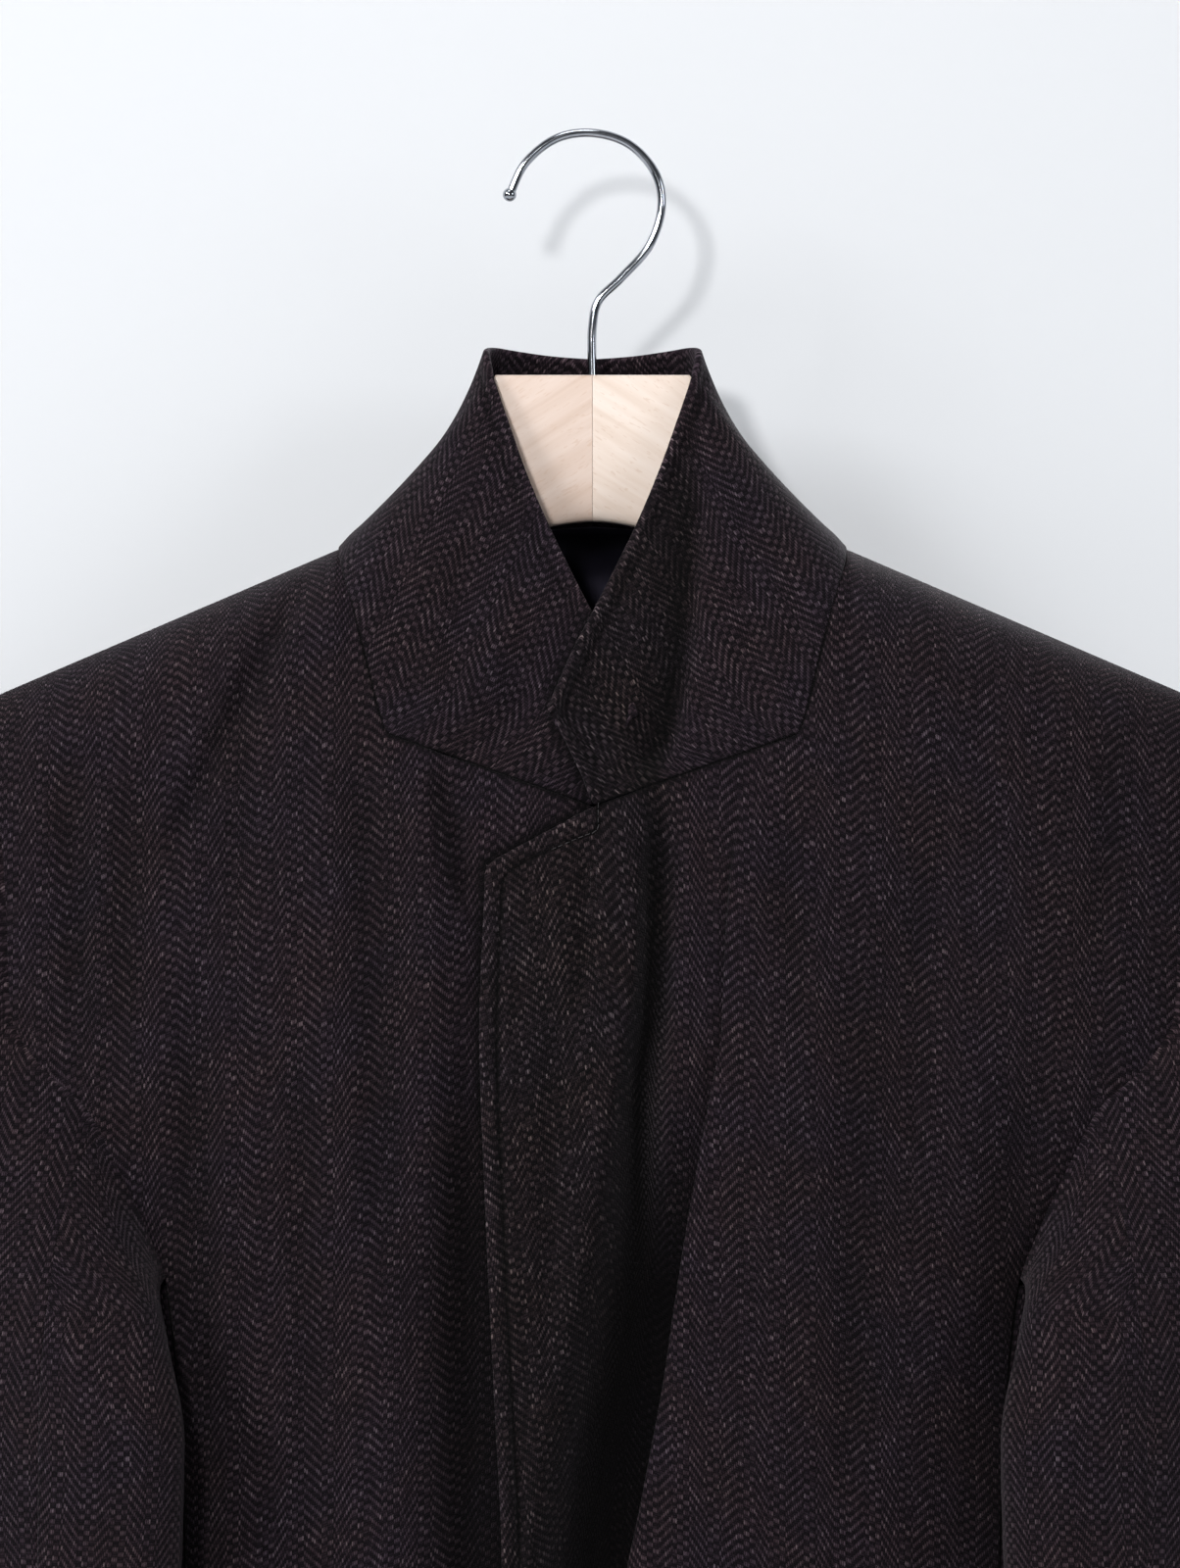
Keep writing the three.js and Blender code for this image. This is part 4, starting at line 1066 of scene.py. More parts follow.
# ---------------------------------------------------------------- topstitching
def stitch_tree() -> Tree:
    """A geometry tree that lays short threads along a path, with named inputs for their sizes."""
    tree = bpy.data.node_groups.new("topstitch", "GeometryNodeTree")
    face = tree.interface
    face.new_socket("Path", in_out="INPUT", socket_type="NodeSocketGeometry")
    for label, default in (("Stitch Pitch", 0.0028), ("Stitch Length", 0.0021), ("Thread Radius", 0.00022)):
        face.new_socket(label, in_out="INPUT", socket_type="NodeSocketFloat").default_value = default
    face.new_socket("Seed", in_out="INPUT", socket_type="NodeSocketInt").default_value = 5
    face.new_socket("Finish", in_out="INPUT", socket_type="NodeSocketMaterial")
    face.new_socket("Stitches", in_out="OUTPUT", socket_type="NodeSocketGeometry")
    loom = Loom(tree)
    given, result = loom.node("NodeGroupInput"), loom.node("NodeGroupOutput")
    curve = loom.node("GeometryNodeMeshToCurve", {"Mesh": given.outputs["Path"]})
    spacing = {"Curve": curve.outputs[0], "Length": given.outputs["Stitch Pitch"]}
    even = loom.node("GeometryNodeResampleCurve", spacing, mode="LENGTH")
    sizes = {"Vertices": 6, "Side Segments": 3}
    sizes |= {"Radius": given.outputs["Thread Radius"], "Depth": given.outputs["Stitch Length"]}
    thread = loom.node("GeometryNodeMeshCylinder", sizes, fill_type="TRIANGLE_FAN")
    tangent = {"Vector": loom.node("GeometryNodeInputTangent").outputs[0]}
    turn = loom.node("FunctionNodeAlignRotationToVector", tangent, axis="Z")
    size_range = {2: 0.86, 3: 1.08, "Seed": given.outputs["Seed"]}
    grow = loom.node("FunctionNodeRandomValue", size_range, data_type="FLOAT")
    laid = {"Points": even.outputs[0], "Instance": thread.outputs["Mesh"]}
    laid |= {"Rotation": turn.outputs[0], "Scale": grow.outputs[1]}
    real = loom.node("GeometryNodeRealizeInstances", {0: loom.node("GeometryNodeInstanceOnPoints", laid).outputs[0]})
    dress = {"Geometry": real.outputs[0], "Material": given.outputs["Finish"]}
    loom.feeds(result, {0: loom.node("GeometryNodeSetMaterial", dress).outputs[0]})
    return tree


def set_inputs(modifier: bpy.types.Modifier, tree: Tree, values: dict[str, object]) -> None:
    """Sets a geometry modifier's named inputs by their sockets' identifiers."""
    for item in tree.interface.items_tree:
        if item.item_type == "SOCKET" and item.in_out == "INPUT" and item.name in values:
            modifier[item.identifier] = values[item.name]


def settle(piece: Piece) -> Piece:
    """Turns what a piece's modifiers make into its plain mesh."""
    graph = bpy.context.evaluated_depsgraph_get()
    source = piece.evaluated_get(graph)
    mesh = bpy.data.meshes.new_from_object(source, preserve_all_data_layers=True, depsgraph=graph)
    piece.modifiers.clear()
    piece.data = mesh
    piece.data.name = piece.name
    return piece


def drilled(piece: Piece, drills: list[Piece]) -> None:
    """Bores holes through a piece and shades it smooth, but for its flat ends."""
    for drill in drills:
        cut = piece.modifiers.new("bore", "BOOLEAN")
        cut.operation, cut.object, cut.solver = "DIFFERENCE", drill, "EXACT"
    settle(piece)
    for drill in drills:
        bpy.data.objects.remove(drill)
    for face in piece.data.polygons:
        face.use_smooth = len(face.vertices) == 4


def ring_faces(count: int, around: int, start: int = 0) -> tuple[Array, Array]:
    """Numbers the points of rings that follow each other, and joins neighbouring rings.

    Args:
        count: number of rings.
        around: number of points on each.
        start: number of the first point.

    Returns:
        The points' numbers, ring by ring, and the four-cornered faces.
    """
    index = start + np.arange(count * around).reshape(count, around)
    after = np.roll(index, -1, axis=1)
    return index, np.stack([index[:-1], after[:-1], after[1:], index[1:]], axis=-1).reshape(-1, 4)


@dataclass
class Topstitch:
    """One row of stitches along a path of points in millimetres."""

    name: str
    path: Array
    pitch: float = 2.8
    length: float = 2.1
    radius: float = 0.2
    seed: int = 5

    def build(self, tree: Tree, finish: Material) -> Piece:
        """Lays the stitches and returns them as one plain mesh."""
        mesh = bpy.data.meshes.new(self.name)
        corners = [tuple(p) for p in np.asarray(self.path) * MM]
        mesh.from_pydata(corners, [(k, k + 1) for k in range(len(corners) - 1)], [])
        piece = linked(self.name, mesh)
        modifier = piece.modifiers.new("topstitch", "NODES")
        modifier.node_group = tree
        sizes = {"Stitch Pitch": self.pitch, "Stitch Length": self.length, "Thread Radius": self.radius}
        values = {name: size * MM for name, size in sizes.items()}
        set_inputs(modifier, tree, values | {"Seed": self.seed, "Finish": finish})
        settle(piece)
        for face in piece.data.polygons:
            face.use_smooth = True
        return piece


# ---------------------------------------------------------------- panels
def armhole_soft(to_side: Array, to_top: Array, level: Array) -> Array:
    """How strongly a body panel's seam sinks in: little along the armhole, fully along its other seams."""
    beside_armhole = ease(-3, 3, to_top - to_side) * ease(BODY.armhole_z - 6, BODY.armhole_z + 6, level)
    return 1 - 0.94 * beside_armhole


def cloth_rows(first: Array, *bands: tuple[Array | float, Array, int]) -> Array:
    """Rows down a panel: close ones below its top, then even ones in bands.

    Args:
        first: the close rows' lengths of cloth below the top.
        bands: the lengths at which each band starts and ends in every column, and its number of rows.

    Returns:
        The length of cloth at each column and row.
    """
    rows = [np.broadcast_to(first, (len(bands[0][1]), len(first)))]
    for start, end, count in bands:
        rows.append(mix(np.reshape(start, (-1, 1)), end[:, None], spread(0, 1, 1 / count)[None, 1:]))
    return np.concatenate(rows, axis=1)


SEAM_STEPS = np.array([5, 3, 1.8, 1.1, 0.6, 0.25, 0])


@dataclass
class FrontPanel:
    """A front of the jacket with its lapel turned up, from the lapped edge to the armhole and side seam."""

    side: Side
    fine: float = 2.3
    corner_round: float = 5.5
    edge_in: float = 6.4
    lapel_in: float = 6.6
    facing_width: float = 92.0
    turn: float = 0.7

    @property
    def panel(self) -> str:
        """The name of the front, which is also its node's."""
        return "front_left" if self.side is Side.LEFT else "front_right"

    def width_at(self, nominal: Array, z: Array) -> Array:
        """x of a column, counted in millimetres from the front edge at the panel's widest."""
        start = BODY.front_edge.at("x", z)
        room = BODY.outer_x("front", z) - start
        full = BODY.shoulder_tip - BODY.lapel_corner[0]
        kept = 30.0
        beyond = kept + (nominal - kept) * (room - kept) / (full - kept)
        return start + np.where(nominal <= kept, nominal, beyond)

    def place(self, nominal: Array, below: Array) -> tuple[Array, Array]:
        """Points of the panel and how far down the cloth each lies.

        Args:
            nominal: column, in millimetres from the front edge.
            below: length of cloth below the panel's upper edge.

        Returns:
            The points, and the length of cloth below the shoulder's crest.
        """
        top_x = BODY.lapel_corner[0] + nominal
        top = BODY.cloth_from_crest(top_x, BODY.front_top_z(top_x))
        cloth = top + below
        z, _ = BODY.turn_at(top_x, cloth)
        x = self.width_at(nominal, z)
        down = BODY.cloth_from_crest(x, z) + np.minimum(0, cloth)
        points = BODY.point(self.panel, self.side.value * x, down)
        if self.side is Side.LEFT:
            points[..., 1] += 1.6 * bell(nominal / 9.0)
        return points, down

    def grid(self) -> tuple[Array, Array]:
        """The panel's columns and, for each, the cloth lengths of its rows."""
        near = np.array([0, 0.15, 0.4, 0.8, 1.4, 2.1, 2.9, 3.7, 4.5, 5.3, 6.2, 7.4, 9, 11, 13.5])
        full = BODY.shoulder_tip - BODY.lapel_corner[0]
        wide = spread(15.5, 44, self.fine), spread(45.5, 106, 1.45), spread(108, full - 7, self.fine)
        nominal = np.concatenate([near, *wide, full - SEAM_STEPS])
        top_x = BODY.lapel_corner[0] + nominal
        top = BODY.cloth_from_crest(top_x, BODY.front_top_z(top_x))
        base = BODY.cloth_from_crest(top_x, BODY.armhole_z) - top
        hem = BODY.cloth_from_crest(top_x, BODY.hem_z) - top
        waist = mix(base, hem, 0.25)
        first = np.array([0, 0.25, 0.6, 1.1, 1.8, 2.8, 4, 5.3, 6.6, 8, 10, 12.5])
        below = cloth_rows(first, (first[-1], base, 92), (base, waist, 44), (waist, hem, 62))
        return np.broadcast_to(nominal[:, None], below.shape).copy(), below

    def shell(self) -> ClothShell:
        """The panel's wall of cloth."""
        left = self.side is Side.LEFT
        nominal, below = self.grid()
        far = below.copy()
        nominal, below = rounded_corner(nominal, below, self.corner_round)
        points, down = self.place(nominal, below)
        x, z = points[..., 0], points[..., 2]
        # Painted shade of the plunge, the folds and the lapped edge.
        painted_dark = BODY.painted_shade(self.panel, x, z)
        if left:
            x -= BODY.lean(x, z)
        start = BODY.lapel_corner[0]
        notch, gorge, neck = BODY.notch[0] - start, BODY.gorge_corner[0] - start, BODY.neck_half - start
        on_lapel = nominal < notch
        to_side = BODY.outer_x("front", z) - np.abs(x)
        steep = ease(gorge - 1, gorge + 2, nominal) * (1 - ease(neck - 0.5, neck + 2, nominal))
        to_top = np.where(on_lapel, np.hypot(below, notch - nominal), below * mix(0.9, 0.24, steep))
        seam = np.maximum(0, np.minimum(to_side, to_top))
        edge = np.minimum(nominal, np.where(on_lapel, below * 0.88, np.inf))
        edge = np.minimum(edge, far[:, -1:] - far)
        stitch = self.stitch_path(nominal, below)
        puff = 0.95 * np.sin(np.pi * np.clip(edge / self.edge_in, 0, 1)) ** 0.7 + 0.35 * bell((edge - 9) / 3)
        puff = puff - 0.95 * bell(stitch / 1.3)
        if left:
            low = ease(-300, -420, z) * (1 - ease(-600, -640, z))
            ripple = 1.1 * drift(0 * nominal, z, 150, 5.1) * bell(nominal / 9)
            free = ease(0, 7, to_top + 40 * on_lapel)
            puff = puff + (3.3 + 1.6 * low) * bell(nominal / 18) * free + ripple * low
        uneven = 0.5 * drift(x, z, 95, self.turn) + 0.22 * drift(x, z, 31, self.turn + 2)
        points[..., 1] -= puff * (1 if left else 0.4) + uneven * ease(0, 20, seam)
        lapel = (1 - ease(-8, 8, x - BODY.plunge.at("near", z) - 8)) if left else 0.0
        weave = np.stack([x + 0.14 * (z + 268) * lapel, -down], axis=-1)
        rims = (Rim.TURNED, Rim.SEWN, 1 - ease(notch - 3, notch, nominal[:, 0]), Rim.TURNED)
        soft = armhole_soft(to_side, to_top, z)
        name = self.panel + "_cloth"
        return ClothShell(name, points, weave, BODY.wall, rims, seam, edge, stitch, left, 1.3, soft, lapel, painted_dark)

    def stitch_path(self, nominal: Array, below: Array) -> Array:
        """Signed distance of each grid place to the row of topstitching."""
        if self.side is Side.RIGHT:
            return np.full(nominal.shape, FAR)
        flat = np.stack([nominal, below], axis=-1)
        return distance_to_path(flat, self.stitch_corners())

    def stitch_corners(self) -> Array:
        """The topstitching's corners, as columns and cloth lengths."""
        notch = BODY.notch[0] - BODY.lapel_corner[0]
        inset, drop = self.edge_in, self.lapel_in
        return np.array(
            [
                (notch + 0.5, 0.3),
                (notch + 0.4, drop + 3.4),
                (notch - 7, drop + 2.2),
                (inset + 10, drop),
                (inset + 2.6, drop + 0.6),
                (inset + 0.6, drop + 2.4),
                (inset, drop + 6),
                (inset, 640.0),
            ]
        )

    def stitches(self, tree: Tree, finish: Material) -> Piece:
        """The topstitching of the lapel and the front edge."""
        corners = self.stitch_corners()
        track = []
        for start, end in zip(corners[:-1], corners[1:]):
            steps = max(2, int(np.linalg.norm(end - start) / 2.5))
            track += [mix(start, end, k / steps) for k in range(steps)]
        track = np.array(track + [corners[-1]])
        points, _ = self.place(track[:, 0], track[:, 1])
        points = points[points[:, 2] > BODY.hem_z + 4]
        points[:, 1] -= 0.05
        return Topstitch("front_topstitch", points).build(tree, finish)

    def build(self, finishes: Wardrobe) -> Piece:
        """Makes the panel and lets it stand for its node."""
        shell = self.shell()
        nominal, _ = self.grid()
        piece = shell.build(finishes.wool, finishes.lining, nominal < self.facing_width)
        return shell.hang(piece, self.panel, "wool", ("hanger_" + self.side.word,))


@dataclass
class BackPanel:
    """The back, cut in one, from the neck and shoulders to the hem."""

    fine: float = 3.0
    turn: float = 3.1

    def build(self, finishes: Wardrobe) -> Piece:
        """Makes the panel and lets it stand for its node."""
        tip = BODY.shoulder_tip
        half = np.concatenate([spread(0, tip - 7, self.fine), tip - SEAM_STEPS])
        nominal = np.concatenate([-half[:0:-1], half])
        top = BODY.cloth_from_crest(nominal, BODY.back_top_z(nominal))
        base = BODY.cloth_from_crest(nominal, BODY.armhole_z)
        hem = BODY.cloth_from_crest(nominal, BODY.hem_z)
        first = np.array([0, 0.25, 0.6, 1.1, 1.8, 3, 5, 8])
        below = cloth_rows(first, (first[-1], base - top, 66), (base - top, hem - top, 84))
        cloth = top[:, None] + below
        z, _ = BODY.turn_at(nominal[:, None], cloth)
        x = nominal[:, None] / tip * BODY.outer_x("back", z)
        down = BODY.cloth_from_crest(x, z) + np.minimum(0, cloth)
        points = BODY.point("back", x, down)
        to_side, to_top = BODY.outer_x("back", z) - np.abs(x), below * 0.9
        seam = np.maximum(0, np.minimum(to_side, to_top))
        uneven = 0.5 * drift(x, z, 110, self.turn) + 0.2 * drift(x, z, 34, self.turn + 1)
        points[..., 1] += uneven * ease(0, 20, seam)
        edge = below[:, -1:] - below
        weave = np.stack([x, -down], axis=-1)
        rims = (Rim.SEWN, Rim.SEWN, np.zeros(len(nominal)), Rim.TURNED)
        soft, away = armhole_soft(to_side, to_top, z), np.full(x.shape, FAR)
        shell = ClothShell("back_cloth", points, weave, BODY.wall, rims, seam, edge, away, seam_soft=soft)
        piece = shell.build(finishes.wool, finishes.lining, edge < 38)
        return shell.hang(piece, "back", "wool", ("hanger_left", "hanger_right"))


@dataclass
class SidePiece:
    """The narrow piece under an arm, between a front and the back."""

    side: Side

    def build(self, finishes: Wardrobe) -> Piece:
        """Makes the piece and lets it stand for its node."""
        ends = np.array([0, 0.006, 0.014, 0.026, 0.045, 0.08])
        turn = np.concatenate([-1 + ends, spread(-0.87, 0.87, 0.075), 1 - ends[::-1]])[:, None]
        first = np.array([0, 0.0006, 0.0014, 0.0026, 0.0045, 0.008])
        share = np.concatenate([first, spread(0.014, 1, 1 / 84)])[None, :]
        z = mix(BODY.armhole_z - BODY.underarm_dip * (1 - turn * turn), BODY.hem_z, share)
        points = side_point(turn, z)
        centre = np.abs(turn)
        seam = np.minimum((1 - centre) * 55.0, (share * 450.0) + 0 * turn)
        edge = (1 - share) * 450.0 + 0 * turn
        points[..., 0] += 0.5 * drift(turn * 55, z, 90, 1.3) * ease(0, 20, seam)
        weave = np.stack([turn * 55.0 + 0 * z, z], axis=-1)
        points[..., 0] *= self.side.value
        rims = (Rim.SEWN, Rim.SEWN, np.zeros(len(turn)), Rim.TURNED)
        name = "side_" + self.side.word
        away, left = np.full(z.shape, FAR), self.side is Side.LEFT
        shell = ClothShell(name + "_cloth", points, weave, BODY.wall, rims, seam, edge, away, flip=left)
        piece = shell.build(finishes.wool, finishes.lining, edge < 38)
        side = self.side.word
        return shell.hang(piece, name, "wool", (f"front_{side}", "back"))


def side_point(turn: Array, z: Array) -> Array:
    """Places on the wearer's left side piece, round the body from the front seam to the back one."""
    centre = BODY.sections.at("centre", z)
    half = BODY.sections.at("half", z)
    angle = turn * math.acos(BODY.side_share ** (BODY.squareness / 2))
    reach = np.where(turn < 0, BODY.sections.at("front", z), BODY.sections.at("back", z)) - centre
    power = 2 / BODY.squareness
    x = half * np.cos(angle) ** power
    return np.stack([x, centre + reach * np.abs(np.sin(angle)) ** power, z + 0 * x], axis=-1)


# ---------------------------------------------------------------- collar
@dataclass
class Collar:
    """The turned-up collar, from its lapped left end round the neck to the right one."""

    thick: float = 2.6
    last: int = 12
    tip_round: float = 9.0
    valley = Profile(
        "z x deep rise",
        (-110, 40, 0, 9), (-135, 39.5, 4, 9), (-161, 38.5, 7, 7.5), (-192, 36.5, 8.5, 6.5),
        (-223, 32.5, 8.5, 6.5), (-250, 25, 8.5, 6.5), (-272, 19, 8, 7),
    )
    tuck: float = 2.6
    lean_left: float = math.radians(27)
    lean_right: float = math.radians(-22)
    edge = Profile(
        "at seam x y z hollow",
        (0, 2, -16.5, -64, -225, 0), (1, 22, -9, -56, -207, 0), (2, 42, 0, -48, -189, 0),
        (3, 61, 9, -40, -171, -2), (4, 80, 18, -31, -152, -5), (5, 86, 26, -24, -133, -5),
        (6, 92, 33, -18, -113, -2), (7, 98, 40, -11, -93, 4), (8, 90, 43, 1, -84, 6),
        (9, 76, 39, 14, -82.5, 3), (10, 52, 29, 22, -83.5, -1), (11, 26, 15, 26, -85, -4),
        (12, 0, 0, 27, -86, -5),
    )

    def seam_points(self, at: Array, side: int) -> Array:
        """Points just above the seam that joins the collar to a front or to the back."""
        keys, seam_x = self.edge.keys, self.edge.grid[:, 1]
        x_named = np.interp(at, keys, seam_x)
        on_back = at > 7
        top = BODY.front_top_z(x_named)
        panel = FrontPanel(Side.LEFT if side > 0 else Side.RIGHT)
        nominal = x_named - BODY.lapel_corner[0]
        x_front = panel.width_at(nominal, top)
        front = BODY.point(panel.panel, side * x_front, BODY.cloth_from_crest(x_front, top))
        back = BODY.point("back", side * x_named, BODY.cloth_from_crest(x_named, BODY.back_top_z(x_named)))
        found = np.where(on_back[..., None], back, front)
        found[..., 0] += side * self.tuck * bell((at - 6.9) / 0.8)
        return found

    def surface(self, across: Array, up: Array) -> Array:
        """Points of the collar.

        Args:
            across: 0 at the wearer's left end, twice the last row's number at the right end.
            up: 0 at the seam and 1 at the free edge.

        Returns:
            The points.
        """
        left = across <= self.last
        at = np.where(left, across, 2 * self.last - across)
        side = np.where(left, 1.0, -1.0)
        seam = np.where(left[..., None], self.seam_points(at, 1), self.seam_points(at, -1))
        rim = np.stack([side * self.edge.at("x", at), self.edge.at("y", at), self.edge.at("z", at)], axis=-1)
        height = rim[..., 2]
        rim[..., 1] += np.where(left, 0, 7.0 * (1 - ease(-186, -130, height)) + 5.0 * (1 - ease(-222, -196, height)))
        hollow = self.edge.at("hollow", at) * 4 * up * (1 - up)
        inward = unit(np.stack([-seam[..., 0] / 98, -seam[..., 1] / 48, np.zeros_like(up)], axis=-1))
        return mix(seam, rim, up[..., None]) + inward * hollow[..., None]

    def roll(self, points: Array, seam: Array, edge: Array, left: Array) -> Array:
        """How far the cloth lies behind its plain form: a rolled edge, and a crease down the lapped end.

        Args:
            points: the collar's grid of points.
            seam: distance from the collar's seam.
            edge: distance from its free edge.
            left: truth values, True on the wearer's left half.

        Returns:
            The distance to the back at each point.
        """
        rolled = 1.5 * bell((edge - 6.6) / 1.9) - 1.1 * np.sin(np.pi * np.clip(edge / 5.5, 0, 1)) ** 0.8
        x, z = points[..., 0], points[..., 2]
        valley, deep, rise = (self.valley.at(name, z) for name in self.valley.names[1:])
        crease = deep * ease(valley - 21, valley, x) * (1 - ease(valley, valley + rise, x))
        lifted = 1.8 * bell(edge / 10) * ease(-165, -190, z)
        worn = 0.8 * drift(x, z, 60, 3.3) + 0.4 * drift(x, z, 24, 1.9)
        front = ease(0, 14, seam) * (1 - ease(-12, 6, points[..., 1]))
        small = pressed(COLLAR_FOLDS, x, z)
        return front * (rolled + np.where(left, crease - lifted, 0) + 0.55 * worn + small)

    def weave(self, points: Array) -> Array:
        """Flat places of the cloth, cut in two halves whose grain leans towards the middle of the back.

        Args:
            points: the collar's grid of points, an even number across.

        Returns:
            Places across and along the cloth, in the grid's shape.
        """
        half = len(points) // 2
        flat = []
        halves = (points[:half], 1, self.lean_left), (points[: half - 1 : -1], -1, self.lean_right)
        for ends, sign, lean in halves:
            level, height = sign * level_run(ends, 0) + ends[:1, :1, 0], ends[..., 2]
            cos, sin = math.cos(lean), math.sin(lean)
            flat.append(np.stack([level * cos + height * sin, height * cos - level * sin], axis=-1))
        return np.concatenate([flat[0], flat[1][::-1]])

    def build(self, finishes: Wardrobe) -> Piece:
        """Makes the collar and lets it stand for its node."""
        ends = np.array([0, 0.02, 0.05, 0.1, 0.18, 0.28])
        last = self.last
        half = np.concatenate([ends, spread(0.4, last - 0.1, 0.12), [last - 0.04, last - 0.01]])
        across = np.concatenate([half, 2 * last - half[::-1]])[:, None]
        low, high = [0, 0.004, 0.01, 0.018, 0.03, 0.05], [0.95, 0.967, 0.98, 0.99, 1]
        up = np.concatenate([low, spread(0.075, 0.93, 0.024), high])[None, :]
        across, up = np.broadcast_arrays(across, up)
        middle = np.minimum(across, 2 * last - across)
        rise = self.surface(across, np.ones_like(up)) - self.surface(across, np.zeros_like(up))
        length = np.linalg.norm(rise, axis=-1)
        from_end, from_rim = rounded_corner(middle * 19.0, (1 - up) * length, self.tip_round)
        shifted = from_end / 19.0
        across_new = np.where(across <= last, shifted, 2 * last - shifted)
        up_new = 1 - from_rim / length
        points = self.surface(across_new, up_new)
        seam = up_new * length
        edge = np.minimum(from_end, from_rim)
        points[..., 1] += self.roll(points, seam, edge, across <= last)
        valley_x = self.valley.at("x", points[..., 2])
        x, z = points[..., 0], points[..., 2]
        lapped = np.where(across < 7, (1 - ease(valley_x - 3, valley_x + 5, x)) * ease(-105, -150, z), 0)
        # Painted shade: darker towards the crease on the lapped end, a dark line inside the rolled edge, and a painted
        # shadow on the right half under the left end's edge.
        painted_dark = lapped * (0.1 + 0.75 * ease(valley_x - 15, valley_x - 1, x)) * (1 - bell(edge / 2.5))
        painted_dark = np.maximum(painted_dark, 0.6 * bell((edge - 6.4) / 1.1) * ease(2, 12, seam))
        painted_dark = np.where(across > last, np.maximum(painted_dark, 0.9 * BODY.under_edge(x, z)), painted_dark)
        middle_seam = np.abs(across - last) * 25.0
        soft = np.where(seam < middle_seam, 1.0, 0.4)
        weave = self.weave(points)
        rims = (Rim.TURNED, Rim.TURNED, np.zeros(len(across)), Rim.TURNED)
        seam = np.minimum(seam, middle_seam)
        away = np.full(up.shape, FAR)
        shell = ClothShell(
            "collar_cloth", points, weave, self.thick, rims, seam, edge, away, False, 1.3, soft, lapped, painted_dark
        )
        piece = shell.build(finishes.wool, finishes.wool, np.ones(up.shape, bool))
        return shell.hang(piece, "collar", "wool", ("front_left", "front_right", "back"))


# ---------------------------------------------------------------- sleeves
@dataclass
class Sleeve:
    """A two-piece sleeve that hangs from the armhole."""

    side: Side
    ring_z: float = -505.0
    cuff_z: float = -831.0
    tilt: float = math.radians(30)
    stations = Profile(
        "z x y wide deep",
        (-505, 226, -40, 75, 35), (-580, 226, -42, 72, 34), (-650, 229, -46, 67, 32),
        (-740, 235, -52, 61, 29), (-831, 240, -62, 56, 26),
    )
    creases = (
        (-478, 112, 4, 14, 46, 14), (-598, 165, 5, 13, 55, -16), (-640, 150, 4.5, 12, 60, 18),
        (-628, 280, 4, 14, 50, 12), (-765, 120, 2.5, 16, 60, -10),
    )
    head = Profile(
        "ring angle out_x out_y out_z lead hang",
        (0, 0, 1, 0, -0.3, 44, 170), (5, 46, 0.95, -0.3, -0.12, 32, 120),
        (9, 95, 0.85, -0.5, -0.05, 20, 70), (10, 118, 0.75, -0.65, -0.05, 18, 50),
        (11, 146, 0.55, -0.8, -0.1, 17, 40), (12, 180, 0.35, -0.93, -0.05, 16, 30),
        (15, 250, 1, -0.1, 0.05, 15, 24), (18, 285, 0.85, 0.5, 0, 20, 30),
        (22, 320, 0.9, 0.4, -0.1, 30, 80), (30, 360, 1, 0, -0.3, 44, 170),
    )
    rows = np.array([0, 0.045, 0.09, 0.15, 0.22, 0.3, 0.39, 0.48, 0.57, 0.66, 0.77, 0.88, 1])

    def armhole(self, ring: Array) -> Array:
        """Points of the armhole's edge, from the shoulder tip down the front, under the arm and up the back."""
        ring = np.asarray(ring, float) % 30
        front_share = np.interp(ring, np.arange(13), self.rows)
        back_share = np.interp(30 - ring, np.arange(13), self.rows)
        tip = BODY.shoulder_tip
        top = BODY.cloth_from_crest(tip, BODY.shoulder_z(tip))
        base = BODY.cloth_from_crest(tip, BODY.armhole_z)

        def panel_edge(panel: str, face: str, share: Array) -> Array:
            """Points of the armhole on one panel, from the share of its height."""
            z, _ = BODY.turn_at(tip, mix(top, base, share))
            x = BODY.outer_x(face, z)
            return BODY.point(panel, x, BODY.cloth_from_crest(x, z))

        turn = np.clip((ring - 15) / 3, -1, 1)
        under = side_point(turn, BODY.armhole_z - BODY.underarm_dip * (1 - turn * turn))
        front = panel_edge("front_left", "front", front_share)
        back = panel_edge("back", "back", back_share)
        return np.select([(ring <= 12)[..., None], (ring < 18)[..., None]], [front, under], back)

    def tube(self, angle: Array, z: Array) -> Array:
        """Points of the hanging tube, from the angle in degrees and the height."""
        turn = np.radians(angle)
        wide, deep = self.stations.at("wide", z), self.stations.at("deep", z)
        outward, forward = wide * np.cos(turn), deep * np.sin(turn)
        press = np.zeros(np.broadcast(angle, z).shape)
        for at_z, face, depth, half, reach, slant in self.creases:
            around = (angle - face) / reach
            press = press + depth * bell(around) * bell((z - at_z - slant * around) / half)
        fuller = 10.5 * bell((angle - 152) / 42) * ease(-830, -740, z)
        keep = 1 + (fuller - press) / np.hypot(outward, forward)
        cos, sin = math.cos(self.tilt), math.sin(self.tilt)
        x = self.stations.at("x", z) + keep * (outward * cos + forward * sin)
        y = self.stations.at("y", z) + keep * (outward * sin - forward * cos)
        return np.stack([x, y, z + 0 * x], axis=-1)

    def surface(self, ring: Array, down: Array) -> Array:
        """Points of the sleeve: down runs 0 to 1 to the tube's top and on to 2 at the cuff."""
        wrapped = ring % 30
        angle = self.head.at("angle", wrapped)
        start = self.armhole(wrapped)
        end = self.tube(angle, np.full(angle.shape, self.ring_z))
        out = np.stack([self.head.at(f"out_{k}", wrapped) for k in "xyz"], axis=-1)
        first = start + out * self.head.at("lead", wrapped)[..., None]
        start = start - out * (0.26 + 2.2 * ease(11, 14, wrapped) * (1 - ease(22, 25, wrapped)))[..., None]
        second = end + np.stack([0 * angle, 0 * angle, self.head.at("hang", wrapped)], axis=-1)
        t = np.clip(down, 0, 1)[..., None]
        bezier = cubic(t, start, first, second, end)
        hanging = self.tube(angle, mix(self.ring_z, self.cuff_z, np.clip(down - 1, 0, 1)))
        return np.where((down > 1)[..., None], hanging, bezier)

